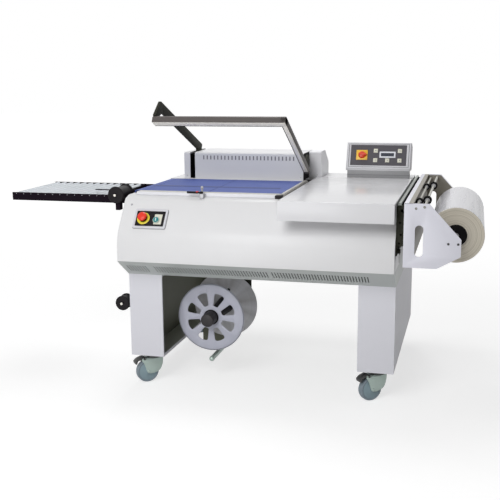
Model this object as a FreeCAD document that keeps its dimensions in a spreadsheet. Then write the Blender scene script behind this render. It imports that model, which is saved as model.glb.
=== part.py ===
"""Semi-automatic L-bar wrapping machine for shrink film, on castors.

Origin: on the floor, below the middle of the machine.
X runs to the operator's right, Y to the rear, Z up. All sizes are in millimetres.
"""
import FreeCAD, Part
import math
import os
import Sketcher

SIZES = {
    # casing and legs
    "body_left": -449, "body_width": 1134, "front_y": -508, "body_depth": 1050,
    "panel_bottom": 575, "panel_bend": 677, "panel_top": 823, "panel_lean": 110,
    "flange_depth": 40, "flange_rise": 11, "casing_top": 834, "sheet": 2.5,
    "pan_bottom": 498, "pan_slope": 116, "vent_pitch": 11.6, "vent_width": 4.2, "vent_margin": 25,
    "vent_gap": 34, "vent_join": 18, "vent_end": 103, "vents_left": 8, "vents_right": 34,
    "leg_width": 148, "leg_inset": 2, "leg_bottom": 136, "leg_lip": 8, "leg_sill": 12, "leg_recess": 101,
    "tube": 40, "deck_top": 846, "deck_sheet": 4, "gap": 0.3,
    # conveyor
    "belt_top": 846, "belt_front": -296, "belt_width": 450, "belt_left": -422, "belt_right": 170,
    "belt_sheet": 2, "roller_radius": 20, "journal_radius": 8, "rail_height": 44, "rail_sheet": 4,
    "motor_radius": 26, "motor_length": 190, "gearbox_bore": 20, "fit_gap": 0.05,
    # seal bars and arm
    "seal_top": 850, "front_seal_y": -358, "front_seal_depth": 42, "front_seal_left": -414,
    "side_seal_x": 210, "side_seal_width": 22, "side_seal_rear": 190, "pad_height": 3,
    "hinge_y": 262, "hinge_z": 920, "arm_angle": 26.7, "arm_left_x": -345, "arm_sheet": 12,
    "bar_height": 31, "bar_depth": 42, "bar_reach": 621, "strip_height": 4,
    "arm_rise": 84, "arm_slant": 42, "arm_crest": 101, "arm_depth": 38, "arm_tip": 34, "arm_bend": 26,
    "shaft_radius": 12, "hub_wall": 10,
    "bearing_width": 24, "bearing_foot": 34, "bearing_wall": 20, "bearing_base": 12, "bearing_shift": 14,
    # rear hood
    "hood_y": 192, "hood_top": 970, "hood_left": -387, "hood_slot": 24, "hood_right_end": 195,
    "hood_inset": 5, "hood_slope": 103, "hood_drop": 65, "hood_vent_pitch": 17.5, "hood_vents": 26,
    "side_hood_left": 198, "side_hood_width": 58, "side_hood_gap": 65, "side_hood_share": 0.51,
    # control box
    "box_inset": 9, "box_width": 304, "box_y": 332, "box_neck": 37, "box_tilt": 23.5,
    "box_face": 140, "box_thick": 60, "key_size": 20, "key_travel": 1.5, "key_high": 28, "key_low": 19,
    "switch_radius": 21, "switch_height": 24,
    # operator station
    "station_x": -316.5, "station_width": 143, "station_height": 90, "station_sheet": 5,
    "estop_radius": 20, "estop_height": 26, "estop_travel": 6, "start_radius": 11, "start_travel": 3,
    # tray and film guide
    "tray_left": 235, "tray_front": -546, "tray_rear": 325, "tray_top": 850, "tray_flap": 76,
    "guide_gap": 4, "guide_plate": 6, "guide_low": 640, "guide_bar": 7,
    # unwinder
    "bracket_gap": 31, "bracket_front": -508, "bracket_top": 850, "bracket_sheet": 3,
    "bracket_drop": 246, "bracket_reach": 213, "flange_width": 34, "web_inset": 26,
    "cheek_top": 93, "cheek_knee": 132, "cheek_toe": 197, "cheek_foot": 126,
    "feed_x": 44, "feed_drop": 19, "feed_pitch": 31, "feed_radius": 9, "feed_rise": 6, "ring_small": 14.4,
    "ring_width": 20, "ring_front": -208, "ring_rear": 222,
    "roll_reach": 189, "roll_drop": 148, "roll_radius": 110, "roll_bore": 38, "roll_front": -318, "roll_rear": 372,
    "mandrel_radius": 12,
    # exit table
    "table_left": -1015, "table_length": 468, "table_front": -330, "table_width": 414, "table_top": 826,
    "table_rail": 26, "table_sheet": 4, "table_arm_front": 100, "table_arm_rear": 60,
    "table_arm": 30, "table_arm_sheet": 8, "table_foot": 60, "table_foot_sheet": 5, "exit_pitch": 35, "exit_radius": 16.2, "exit_count": 13,
    # scrap winder
    "spool_x": -125, "spool_z": 288, "spool_front": -258, "spool_length": 235, "flange_radius": 150,
    "flange_sheet": 4, "window_inner": 52, "window_outer": 110, "window_angle": 22.5, "core_front": 26,
    "core_rear": 39, "core_collar": 34, "winder_shaft": 10, "winder_sheet": 8, "winder_left": 70,
    "winder_right": 118, "winder_drop": 130, "winder_tail": 148, "winder_motor": 42, "winder_motor_length": 96,
    "hub_knob": 26, "hub_knob_length": 42, "film_finger": 138, "dancer_drop": 190, "dancer_pivot": 56, "dancer_radius": 8,
    "dancer_pin": 6, "dancer_sheet": 6, "dancer_half": 12, "dancer_toe": 9,
    "pulley_radius": 36, "pulley_x": -507, "pulley_y": -368, "pulley_z": 830, "pulley_length": 118,
    "low_pulley_x": -486, "low_pulley_y": -386, "low_pulley_z": 362, "low_pulley_radius": 32,
    "low_pulley_length": 60,
    # castors
    "wheel_radius": 50, "wheel_width": 30, "castor_trail": 34, "castor_angle": 40, "castor_inset": 78,
    "fork_sheet": 3, "castor_plate": 4,
}


class Size:
    """A length or angle: its formula in the sheet's names, and its value."""

    def __init__(self, text, value):
        self.text = text
        self.value = value

    def _join(self, other, sign, value):
        return Size("(" + self.text + sign + other.text + ")", value)

    def __add__(self, other):
        other = size(other)
        return self._join(other, " + ", self.value + other.value)

    def __sub__(self, other):
        other = size(other)
        return self._join(other, " - ", self.value - other.value)

    def __mul__(self, other):
        other = size(other)
        return self._join(other, " * ", self.value * other.value)

    def __truediv__(self, other):
        other = size(other)
        return self._join(other, " / ", self.value / other.value)

    def __neg__(self):
        return Size("(0 - " + self.text + ")", -self.value)

    __radd__ = __add__

    def __rsub__(self, other):
        return size(other) - self

    def __rtruediv__(self, other):
        return size(other) / self

    __rmul__ = __mul__


def size(value):
    return value if isinstance(value, Size) else Size(repr(float(value)), float(value))


def cosine(angle):
    return Size("cos(" + angle.text + " * 1 deg)", math.cos(math.radians(angle.value)))


def whole(number):
    return Size("floor(" + number.text + ")", math.floor(number.value))


def sine(angle):
    return Size("sin(" + angle.text + " * 1 deg)", math.sin(math.radians(angle.value)))


doc = FreeCAD.newDocument("wrapping_machine")
sheet_object = doc.addObject("Spreadsheet::Sheet", "Sizes")
for row, (name, value) in enumerate(SIZES.items(), start=1):
    sheet_object.set("A%d" % row, name)
    sheet_object.set("B%d" % row, str(value))
    sheet_object.setAlias("B%d" % row, name)
doc.recompute()


class Sheet:
    """The driving sizes by name."""


v = Sheet()
for name, value in SIZES.items():
    setattr(v, name, Size("Sizes." + name, value))

body_right = v.body_left + v.body_width
rear_y = v.front_y + v.body_depth
lean_y = v.front_y + v.panel_lean
flange_y = lean_y + v.flange_depth
flange_z = v.panel_top + v.flange_rise
leg_front = v.front_y + v.pan_slope
bracket_left = body_right + v.bracket_gap
web_x = bracket_left + v.web_inset
box_left = body_right - v.box_inset - v.box_width
roll_x = bracket_left + v.roll_reach
roll_z = v.bracket_top - v.roll_drop
hood_depth = rear_y - v.hood_inset - v.hood_y
side_hood_y = v.hinge_y + v.side_hood_gap
side_hood_depth = rear_y - v.hood_inset - side_hood_y
belt_rear = v.belt_front + v.belt_width
split_y = v.belt_front - 5
lean_length = Size("sqrt(Sizes.panel_lean ^ 2 + (Sizes.panel_top - Sizes.panel_bend) ^ 2)",
                   math.hypot(SIZES["panel_lean"], SIZES["panel_top"] - SIZES["panel_bend"]))
lean_angle = Size("(atan2(Sizes.panel_lean; Sizes.panel_top - Sizes.panel_bend) / 1 deg)",
                  math.degrees(math.atan2(SIZES["panel_lean"], SIZES["panel_top"] - SIZES["panel_bend"])))

nodes = {}


def bind(item, path, value):
    item.setExpression(path, size(value).text)


def move(item, x, y, z):
    for axis, value in zip("xyz", (x, y, z)):
        bind(item, "Placement.Base." + axis, value)


def turn(item, axis, angle):
    """Turn an item about one of its own axes by a bound angle."""
    angle = size(angle)
    item.Placement = FreeCAD.Placement(item.Placement.Base, FreeCAD.Rotation(FreeCAD.Vector(*axis), angle.value))
    item.setExpression("Placement.Rotation.Angle", angle.text + " * 1 deg")


def block(name, x, y, z):
    """A box between two corners, each given as (low, high)."""
    item = doc.addObject("Part::Box", name)
    for path, (low, high) in zip(("Length", "Width", "Height"), (x, y, z)):
        bind(item, path, size(high) - low)
    move(item, x[0], y[0], z[0])
    return item


def rod(name, axis, start, radius, length):
    """A cylinder from a start point along X, Y or Z."""
    item = doc.addObject("Part::Cylinder", name)
    bind(item, "Radius", radius)
    bind(item, "Height", length)
    if axis == "X":
        item.Placement.Rotation = FreeCAD.Rotation(FreeCAD.Vector(0, 1, 0), 90)
    if axis == "Y":
        item.Placement.Rotation = FreeCAD.Rotation(FreeCAD.Vector(1, 0, 0), -90)
    move(item, *start)
    return item


def plane_of(body, role):
    return [item for item in body.Origin.OriginFeatures if item.Role == role][0]


def outline(body, name, role, points):
    """A closed polygon sketch whose corners are bound to the sheet."""
    sketch = body.newObject("Sketcher::SketchObject", name)
    sketch.AttachmentSupport = [(plane_of(body, role), "")]
    sketch.MapMode = "FlatFace"
    points = [(size(a), size(b)) for a, b in points]
    vectors = [FreeCAD.Vector(a.value, b.value, 0) for a, b in points]
    count = len(points)
    for index in range(count):
        sketch.addGeometry(Part.LineSegment(vectors[index], vectors[(index + 1) % count]), False)
    for index in range(count):
        sketch.addConstraint(Sketcher.Constraint("Coincident", index, 2, (index + 1) % count, 1))
    for index, (a, b) in enumerate(points):
        for kind, coordinate in (("DistanceX", a), ("DistanceY", b)):
            number = sketch.addConstraint(Sketcher.Constraint(kind, index, 1, coordinate.value))
            sketch.setExpression("Constraints[%d]" % number, coordinate.text)
    return sketch


def prism(name, axis, start, length, points):
    """A polygon padded along an axis: YZ points for X, XZ points for Y, XY points for Z."""
    body = doc.addObject("PartDesign::Body", name)
    role = {"X": "YZ_Plane", "Y": "XZ_Plane", "Z": "XY_Plane"}[axis]
    sketch = outline(body, name + "_outline", role, points)
    pad = body.newObject("PartDesign::Pad", name + "_pad")
    pad.Profile = sketch
    bind(pad, "Length", length)
    sketch.Visibility = False
    start = size(start)
    if axis == "X":
        move(body, start, 0, 0)
    if axis == "Y":
        move(body, 0, start + length, 0)
    if axis == "Z":
        move(body, 0, 0, start)
    return body


def lathe(name, axis, centre, profile):
    """A turned piece: (radius, distance along the axis) points spun about the axis through centre."""
    body = doc.addObject("PartDesign::Body", name)
    sketch = outline(body, name + "_profile", "XZ_Plane", profile)
    turned = body.newObject("PartDesign::Revolution", name + "_turned")
    turned.Profile = sketch
    turned.ReferenceAxis = (sketch, ["V_Axis"])
    turned.Angle = 360
    if axis == "X":
        body.Placement.Rotation = FreeCAD.Rotation(FreeCAD.Vector(0, 1, 0), 90)
    if axis == "Y":
        body.Placement.Rotation = FreeCAD.Rotation(FreeCAD.Vector(1, 0, 0), -90)
    move(body, *centre)
    return body


def join(name, *parts):
    item = doc.addObject("Part::MultiFuse", name)
    item.Shapes = list(parts)
    item.Refine = True
    return item


def cut(name, base, *tools):
    item = doc.addObject("Part::Cut", name)
    item.Base = base
    item.Tool = tools[0] if len(tools) == 1 else join(name + "_tools", *tools)
    return item


def common(name, first, second):
    item = doc.addObject("Part::Common", name)
    item.Base = first
    item.Tool = second
    return item


def group(name, *parts):
    item = doc.addObject("Part::Compound", name)
    item.Links = list(parts)
    return item


def node(label, item):
    item.Label = label
    nodes[label] = item
    return item


def origin_item(body, role):
    return [item for item in body.Origin.OriginFeatures if item.Role == role][0]


def row_of(name, body, feature, pitch, count):
    """Repeat a body's own feature along its X axis, an even pitch apart."""
    count = size(count)
    pattern = body.newObject("PartDesign::LinearPattern", name)
    pattern.Originals = [feature]
    pattern.Direction = (origin_item(body, "X_Axis"), [""])
    bind(pattern, "Length", size(pitch) * (count - 1))
    pattern.Occurrences = int(count.value)
    pattern.setExpression("Occurrences", count.text)
    body.Tip = pattern
    return body


def slot_row(name, x, y, z, pitch, count):
    """A row of equal blocks along X; x is (low, high) of the first one."""
    body = prism(name, "Z", z[0], size(z[1]) - z[0], [(x[0], y[0]), (x[1], y[0]), (x[1], y[1]), (x[0], y[1])])
    return row_of(name + "_row", body, body.Group[-1], pitch, count)


# Legs: two channels of bent sheet, open towards the middle, each with an inner wall

def leg(label, left, open_side):
    right = left + v.leg_width
    outer = block(label + "_outer", (left, right), (leg_front, rear_y), (v.leg_bottom, v.pan_bottom))
    hollow = block(label + "_hollow", (left + v.sheet, right - v.sheet), (leg_front + v.sheet, rear_y - v.sheet),
                   (v.leg_bottom + v.sheet, v.pan_bottom - v.sheet))
    mouth_x = (right - v.sheet * 2, right + 1) if open_side > 0 else (left - 1, left + v.sheet * 2)
    mouth = block(label + "_mouth", mouth_x, (leg_front + v.leg_lip, rear_y - v.leg_lip),
                  (v.leg_bottom + v.leg_sill, v.pan_bottom - v.leg_lip))
    wall_x = right - v.leg_recess - v.sheet if open_side > 0 else left + v.leg_recess
    wall = block(label + "_wall", (wall_x, wall_x + v.sheet), (leg_front + 1, rear_y - 1),
                 (v.leg_bottom + 1, v.pan_bottom - 1))
    return node(label, join(label + "_welded", cut(label + "_shell", outer, hollow, mouth), wall))


left_leg_x = v.body_left + v.leg_inset
right_leg_x = body_right - v.leg_inset - v.leg_width


# Casing: base pan with louvres, front panel, wrap-round sides and rear

def base_pan():
    outer = [(v.front_y, v.panel_bottom), (leg_front, v.pan_bottom), (rear_y - v.pan_slope, v.pan_bottom),
             (rear_y, v.panel_bottom)]
    rise = (v.panel_bottom - v.pan_bottom) / v.pan_slope
    shift = v.sheet * 1.8
    inner = [(v.front_y + shift - 2 / rise, v.panel_bottom + 2), (leg_front + shift * 0.6, v.pan_bottom + v.sheet),
             (rear_y - v.pan_slope - shift * 0.6, v.pan_bottom + v.sheet),
             (rear_y - shift + 2 / rise, v.panel_bottom + 2)]
    shell = cut("pan_shell", prism("pan_outer", "X", v.body_left, v.body_width, outer),
                prism("pan_inner", "X", v.body_left + v.sheet, v.body_width - v.sheet * 2, inner))
    slots = []
    first = v.body_left + v.vent_margin
    last = body_right - v.vent_end - v.vent_width - v.vent_pitch * (v.vents_right - 1)
    middle = first + v.vent_width + v.vent_pitch * (v.vents_left - 1) + v.vent_gap
    room = last - v.vent_join - v.vent_width - middle
    for name, place, count in (("left", first, v.vents_left), ("middle", middle, whole(room / v.vent_pitch) + 1),
                               ("right", last, v.vents_right)):
        slots.append(slot_row("vents_" + name, (place, place + v.vent_width),
                              (v.front_y + v.pan_slope * 0.3, v.front_y + v.pan_slope * 0.8),
                              (v.pan_bottom + 8, v.panel_bottom), v.vent_pitch, count))
    return node("base_pan", cut("pan_vented", shell, *slots))


def front_panel():
    skin = v.sheet * 1.25
    outline_points = [
        (v.front_y, v.panel_bottom), (v.front_y, v.panel_bend), (lean_y, v.panel_top), (flange_y, flange_z),
        (split_y, flange_z), (split_y, v.panel_bottom)]
    inner_points = [
        (v.front_y + v.sheet, v.panel_bottom - 1), (v.front_y + v.sheet, v.panel_bend - v.sheet * 0.35),
        (lean_y + skin * 0.6, v.panel_top - skin * 0.8), (flange_y + v.sheet * 0.2, flange_z - v.sheet),
        (split_y + 1, flange_z - v.sheet), (split_y + 1, v.panel_bottom - 1)]
    shell = cut("front_shell", prism("front_outer", "X", v.body_left, v.body_width, outline_points),
                prism("front_inner", "X", v.body_left + v.sheet, v.body_width - v.sheet * 2, inner_points))
    return node("front_panel", shell)


def side_and_rear_panels():
    start = split_y
    outer = block("wrap_outer", (v.body_left, body_right), (start, rear_y), (v.panel_bottom, v.casing_top))
    inner = block("wrap_inner", (v.body_left + v.sheet, body_right - v.sheet), (start - 1, rear_y - v.sheet),
                  (v.panel_bottom - 1, v.casing_top + 1))
    return node("side_and_rear_panels", cut("wrap", outer, inner))


def main_frame():
    """Welded square tube: a ring on the pan, four posts and cross rails under the deck and the conveyor."""
    left = v.body_left + v.sheet
    right = body_right - v.sheet
    front = v.belt_front - 4
    rear = rear_y - v.sheet
    floor_z = v.pan_bottom + v.sheet
    top = v.belt_top - v.rail_height
    ring = cut("frame_ring",
               block("ring_outer", (left + 20, right - 20), (leg_front + 20, rear_y - v.pan_slope - 20),
                     (floor_z, floor_z + v.tube)),
               block("ring_inner", (left + 20 + v.tube, right - 20 - v.tube),
                     (leg_front + 20 + v.tube, rear_y - v.pan_slope - 20 - v.tube), (floor_z - 1, floor_z + v.tube + 1)))
    members = [ring]
    for x in (left, v.tray_left, right - v.tube):
        low = floor_z if x is not v.tray_left else top - v.tube
        for y in (front, rear_y - v.pan_slope - 20 - v.tube):
            members.append(block("post", (x, x + v.tube), (y, y + v.tube), (low, top)))
        members.append(block("rail", (x, x + v.tube), (front, rear), (top - v.tube, top)))
    members.append(block("deck_rail", (left, right), (rear - v.tube, rear), (top - v.tube, top)))
    for x in (v.tray_left + v.sheet, right - v.tube):
        members.append(block("stand", (x, x + v.tube), (rear - v.tube, rear), (top - 1, v.deck_top - v.deck_sheet)))
        members.append(block("tray_post", (x, x + v.tube), (v.side_seal_rear - v.tube, v.side_seal_rear),
                             (top - 1, v.tray_top - v.sheet)))
        members.append(block("tray_post", (x, x + v.tube), (front + v.tube, front + v.tube * 2),
                             (top - 1, v.tray_top - v.sheet)))
    members.append(block("seal_rail", (v.side_seal_x - v.side_seal_width / 2, v.tray_left + 1),
                         (v.side_seal_rear - v.tube, v.side_seal_rear), (top - v.tube, top)))
    members.append(block("seal_rail", (v.side_seal_x - v.side_seal_width / 2, v.tray_left + 1),
                         (front, front + v.tube), (top - v.tube, top)))
    members.append(block("seal_post", (v.side_seal_x - v.side_seal_width / 2, v.side_seal_x + v.side_seal_width / 2),
                         (v.side_seal_rear - v.tube, v.side_seal_rear), (top - 1, v.seal_top - 16)))
    return node("main_frame", join("frame_welded", *members))


def deck_plate():
    """The rear deck under the hood and the control box, folded down at its edges."""
    low = v.casing_top
    left = block("deck_left", (v.body_left, v.side_seal_x - v.side_seal_width / 2 - 1), (belt_rear + 8, rear_y),
                 (low, v.deck_top))
    back = block("deck_back", (v.body_left, body_right), (v.tray_rear + 1, rear_y), (low, v.deck_top))
    inner_left = block("deck_left_in", (v.body_left + v.sheet, v.side_seal_x - v.side_seal_width / 2 - 1 - v.sheet),
                       (belt_rear + 8 + v.sheet, rear_y - v.sheet), (low - 1, v.deck_top - v.deck_sheet))
    inner_back = block("deck_back_in", (v.body_left + v.sheet, body_right - v.sheet),
                       (v.tray_rear + 1 + v.sheet, rear_y - v.sheet), (low - 1, v.deck_top - v.deck_sheet))
    return node("deck_plate", cut("deck", join("deck_outer", left, back), inner_left, inner_back))


# Conveyor: slider bed on two rails, drive and idle rollers, belt, gear motor

drive_x = v.belt_left + v.roller_radius + v.belt_sheet
idle_x = v.belt_right - v.roller_radius - v.belt_sheet
roller_z = v.belt_top - v.belt_sheet - v.roller_radius


def conveyor_bed():
    plate = block("bed_plate", (drive_x + v.roller_radius + 4, idle_x - v.roller_radius - 4),
                  (v.belt_front - v.gap - 1, belt_rear + v.gap + 1),
                  (v.belt_top - v.belt_sheet - v.gap - 3, v.belt_top - v.belt_sheet - v.gap))
    parts = [plate]
    low = v.belt_top - v.rail_height
    for y in (v.belt_front - v.gap - v.rail_sheet, belt_rear + v.gap):
        parts.append(block("bed_rail", (v.belt_left + 4, v.belt_right - 4), (y, y + v.rail_sheet),
                           (low, v.belt_top - 3)))
    holes = []
    for x in (drive_x, idle_x):
        holes.append(rod("bed_hole", "Y", (x, v.belt_front - 20, roller_z), v.journal_radius + v.fit_gap,
                         v.belt_width + 40))
    return node("conveyor_bed", cut("bed", join("bed_joined", *parts), *holes))


def conveyor_roller(label, x):
    half = v.rail_sheet + v.gap * 2
    rear = half + v.gearbox_bore
    profile = [(0, -half), (v.journal_radius, -half), (v.journal_radius, 1), (v.roller_radius - v.gap, 1),
               (v.roller_radius, 30), (v.roller_radius, v.belt_width - 30),
               (v.roller_radius - v.gap, v.belt_width - 1), (v.journal_radius, v.belt_width - 1),
               (v.journal_radius, v.belt_width + rear), (0, v.belt_width + rear)]
    return node(label, lathe(label + "_body", "Y", (x, v.belt_front, roller_z), profile))


def conveyor_belt():
    """An endless band round both rollers, cut as an outer racetrack less an inner one."""

    def track(name, radius, y, width):
        ends = [rod(name + "_end", "Y", (x, y, roller_z), radius, width) for x in (drive_x, idle_x)]
        middle = block(name + "_middle", (drive_x, idle_x), (y, y + width), (roller_z - radius, roller_z + radius))
        return join(name, middle, *ends)

    outer = track("belt_outer", v.roller_radius + v.belt_sheet, v.belt_front, v.belt_width)
    inner = track("belt_inner", v.roller_radius + v.gap, v.belt_front - 1, v.belt_width + 2)
    return node("conveyor_belt", cut("belt", outer, inner))


def gear_motor():
    """Gearbox on the rear rail, round the drive roller's journal, with the motor along the roller's line."""
    start = belt_rear + v.gap + v.rail_sheet
    half = v.journal_radius * 3.4
    seat = v.belt_top - v.rail_height + v.gap
    box = block("gearbox", (drive_x - half * 0.5, drive_x + half * 2), (start, start + 62),
                (seat, v.casing_top - v.gap))
    motor = rod("motor", "X", (drive_x + half * 2 - 1, start + 40, seat), v.motor_radius, v.motor_length)
    hole = rod("motor_hole", "Y", (drive_x, start - 1, roller_z), v.journal_radius + v.fit_gap, 24)
    return node("gear_motor", cut("motor_unit", join("motor_joined", box, motor), hole))


# Seal bars in the bed: an L of two channels with silicone pads, and a black end block

def seal_base():
    front_rear = v.front_seal_y + v.front_seal_depth
    side = (v.side_seal_x - v.side_seal_width / 2, v.side_seal_x + v.side_seal_width / 2)
    top = v.seal_top - v.pad_height
    front = block("front_base", (v.front_seal_left, side[1]), (v.front_seal_y, front_rear), (flange_z, top))
    long_bar = block("side_base", side, (v.front_seal_y, v.side_seal_rear), (v.seal_top - 16, top))
    end = block("base_end", side, (v.front_seal_y - 50, v.front_seal_y + 1), (v.seal_top - 12, top + 1))
    groove_front = block("front_groove", (v.front_seal_left + 8, side[1] - 8),
                         (v.front_seal_y + 17, v.front_seal_y + 27), (top - 4, top + 1))
    groove_side = block("side_groove", (v.side_seal_x - 5, v.side_seal_x + 5),
                        (v.front_seal_y + 17, v.side_seal_rear - 8), (top - 4, top + 1))
    return node("seal_base", cut("seal_channel", join("seal_joined", front, long_bar, end), groove_front, groove_side))


def seal_pads():
    top = v.seal_top - v.gap
    low = v.seal_top - v.pad_height - 4
    front = block("front_pad", (v.front_seal_left + 8, v.side_seal_x + 5), (v.front_seal_y + 17, v.front_seal_y + 27),
                  (low, top))
    side = block("side_pad", (v.side_seal_x - 5, v.side_seal_x + 5), (v.front_seal_y + 17, v.side_seal_rear - 8),
                 (low, top))
    return node("seal_pads", join("pads", front, side))


# Sealing arm, drawn closed about its hinge and then swung open

def swing(item):
    turn(item, (1, 0, 0), -v.arm_angle)
    move(item, 0, v.hinge_y, v.hinge_z)
    return item


bar_low = v.seal_top - v.hinge_z
bar_top = bar_low + v.bar_height
side_low = v.side_seal_x - v.side_seal_width / 2
side_high = v.side_seal_x + v.side_seal_width / 2
shaft_hub = v.shaft_radius + v.hub_wall


def bridge_arm():
    crest = bar_top + v.arm_rise
    points = [
        (-v.bar_reach, bar_top), (v.arm_slant - v.bar_reach, crest), (shaft_hub + 9, v.arm_crest), (shaft_hub, 0),
        (-shaft_hub, 0), (-shaft_hub - 2, v.arm_crest - v.arm_depth - 6),
        (v.arm_slant + v.arm_bend - v.bar_reach, crest - v.arm_depth + 2), (v.arm_tip - v.bar_reach, bar_top)]
    arm = prism("arm_plate", "X", v.arm_left_x - v.arm_sheet / 2, v.arm_sheet, points)
    hub = rod("arm_hub", "X", (v.arm_left_x - v.arm_sheet / 2, 0, 0), shaft_hub, v.arm_sheet)
    shaft = rod("arm_bore", "X", (v.arm_left_x - 40, 0, 0), v.shaft_radius, 80)
    return node("bridge_arm", swing(cut("arm_bored", join("arm_joined", arm, hub), shaft)))


def seal_bar_frame():
    left = v.arm_left_x - v.arm_sheet / 2
    low = bar_low + v.strip_height
    front = block("upper_front", (left, side_high), (-v.bar_reach, v.bar_depth - v.bar_reach), (low, bar_top))
    points = [(-v.bar_reach, low), (-v.bar_reach, bar_top), (-shaft_hub * 3, bar_top), (-shaft_hub, 0),
              (shaft_hub, 0), (0, -shaft_hub), (-shaft_hub * 1.6, low)]
    side = prism("upper_side", "X", side_low, v.side_seal_width, points)
    hub = rod("side_hub", "X", (side_low, 0, 0), shaft_hub, v.side_seal_width)
    bore = rod("side_bore", "X", (side_low - 40, 0, 0), v.shaft_radius, v.side_seal_width + 80)
    return node("seal_bar_frame", swing(cut("bars_bored", join("bars_joined", front, side, hub), bore)))


def seal_strips():
    left = v.arm_left_x - v.arm_sheet / 2
    front = block("front_strip", (left, side_high), (4 - v.bar_reach, v.bar_depth - 4 - v.bar_reach),
                  (bar_low, bar_low + v.strip_height))
    side = block("side_strip", (side_low + 3, side_high - 3), (4 - v.bar_reach, -shaft_hub * 3),
                 (bar_low, bar_low + v.strip_height))
    return node("seal_strips", swing(join("strips", front, side)))


def arm_shaft():
    start = v.arm_left_x - 32
    return node("arm_shaft", swing(group("shaft_set", rod("shaft_bar", "X", (start, 0, 0), v.shaft_radius,
                                                          side_high + 6 - start))))


def arm_bearings():
    blocks = []
    wide = v.bearing_width
    top = v.deck_top + v.bearing_base
    for index, x in enumerate((v.arm_left_x + v.arm_sheet / 2 + v.bearing_shift, side_low - wide - v.bearing_wall)):
        foot = block("bearing_foot", (x, x + wide), (v.hinge_y - v.bearing_foot, v.hinge_y + v.bearing_foot),
                     (v.deck_top, top))
        wall = block("bearing_wall", (x, x + wide), (v.hinge_y - v.bearing_wall, v.hinge_y + v.bearing_wall),
                     (v.deck_top, v.hinge_z))
        eye = rod("bearing_eye", "X", (x, v.hinge_y, v.hinge_z), v.shaft_radius * 2, wide)
        bore = rod("bearing_bore", "X", (x - v.hub_wall, v.hinge_y, v.hinge_z), v.shaft_radius + v.fit_gap, wide * 2)
        blocks.append(cut("bearing_%d" % index, join("bearing_joined", foot, wall, eye), bore))
    return node("arm_bearings", group("bearings", *blocks))


# Rear hood in three sheet covers; the arm and the side bar swing in the gaps between them

def hood_shell(name, left, width, y, flat, depth):
    wall = v.sheet
    bend = 5
    outer = [(y, v.deck_top), (y, v.hood_top - bend), (y + bend, v.hood_top), (y + flat, v.hood_top),
             (y + depth, v.hood_top - v.hood_drop), (y + depth, v.deck_top)]
    inner = [(y + wall, v.deck_top - 1), (y + wall, v.hood_top - bend - wall * 0.4),
             (y + bend + wall * 0.4, v.hood_top - wall), (y + flat - wall * 0.3, v.hood_top - wall),
             (y + depth - wall, v.hood_top - v.hood_drop - wall), (y + depth - wall, v.deck_top - 1)]
    return cut(name, prism(name + "_outer", "X", left, width, outer),
               prism(name + "_inner", "X", left + wall, width - wall * 2, inner))


def hood_left():
    right = v.arm_left_x - v.hood_slot / 2
    shell = hood_shell("left_hood", v.hood_left, right - v.hood_left, v.hood_y, hood_depth - v.hood_slope, hood_depth)
    notch = block("left_notch", (right - v.sheet - 1, right + 1), (v.hinge_y - 20, v.hinge_y + 20),
                  (v.deck_top - 1, v.hinge_z + 20))
    return node("hood_left", cut("left_hood_notched", shell, notch))


def hood_centre():
    left = v.arm_left_x + v.hood_slot / 2
    width = v.hood_right_end - left
    shell = hood_shell("centre_hood", left, width, v.hood_y, hood_depth - v.hood_slope, hood_depth)
    notch = block("shaft_notch", (left - 5, v.hood_right_end + 5), (v.hinge_y - 20, v.hinge_y + 20),
                  (v.deck_top - 1, v.hinge_z + 20))
    row = slot_row("hood_slots", (left + 41, left + 47), (v.hood_y - 5, v.hood_y + 5),
                   (v.hood_top - 34, v.hood_top - 15), v.hood_vent_pitch, v.hood_vents)
    return node("hood_centre", cut("hood_vented", shell, notch, row))


def hood_right():
    return node("hood_right", hood_shell("right_hood", v.side_hood_left, v.side_hood_width, side_hood_y,
                                         side_hood_depth * v.side_hood_share, side_hood_depth))


# Control box: a neck on the deck and a tilted face with five keys and a main switch

face_low = v.deck_top + v.box_neck
face_x = box_left + v.box_width / 2


def on_face(item, along, up, out):
    """Place an item drawn about its own origin, facing -Y, on the tilted face."""
    turn(item, (1, 0, 0), -v.box_tilt)
    climb = v.box_face / 2 + up
    move(item, face_x + along, v.box_y + climb * sine(v.box_tilt) - out * cosine(v.box_tilt),
         face_low + climb * cosine(v.box_tilt) + out * sine(v.box_tilt))
    return item


key_places = [("key_1", -15, v.key_high), ("key_2", -15, -v.key_low), ("key_3", 41, -v.key_low),
              ("key_4", 98, v.key_high), ("key_5", 98, -v.key_low)]
knob_along = -79
knob_up = 6


def control_box():
    top_y = v.box_y + v.box_face * sine(v.box_tilt)
    top_z = face_low + v.box_face * cosine(v.box_tilt)
    back_y = top_y + v.box_thick * cosine(v.box_tilt)
    back_z = top_z - v.box_thick * sine(v.box_tilt)
    points = [(v.box_y, v.deck_top), (v.box_y, face_low), (top_y, top_z), (back_y, back_z),
              (v.box_y + v.box_thick + 14, face_low), (v.box_y + v.box_thick + 14, v.deck_top)]
    shell = prism("box_shell", "X", box_left, v.box_width, points)
    pockets = []
    depth = v.key_travel + 6
    for name, along, up in key_places:
        half = v.key_size / 2 + v.gap
        pocket = block(name + "_pocket", (-half, half), (-5, depth), (-half, half))
        pockets.append(on_face(pocket_at_origin(pocket, half, depth), along, up, 0))
    socket = lathe("switch_socket", "Y", (0, 0, 0), [(0, -6), (6 + v.fit_gap, -6), (6 + v.fit_gap, 14), (0, 14)])
    face_piece(socket, knob_along, knob_up, 0)
    return node("control_box", cut("box_pocketed", shell, socket, *pockets))


def pocket_at_origin(item, half, depth):
    """Wrap a box so that it can be turned about the point it is drawn round."""
    return join(item.Name + "_set", item, block(item.Name + "_core", (-half, half), (-5, depth), (-half, half)))


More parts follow.
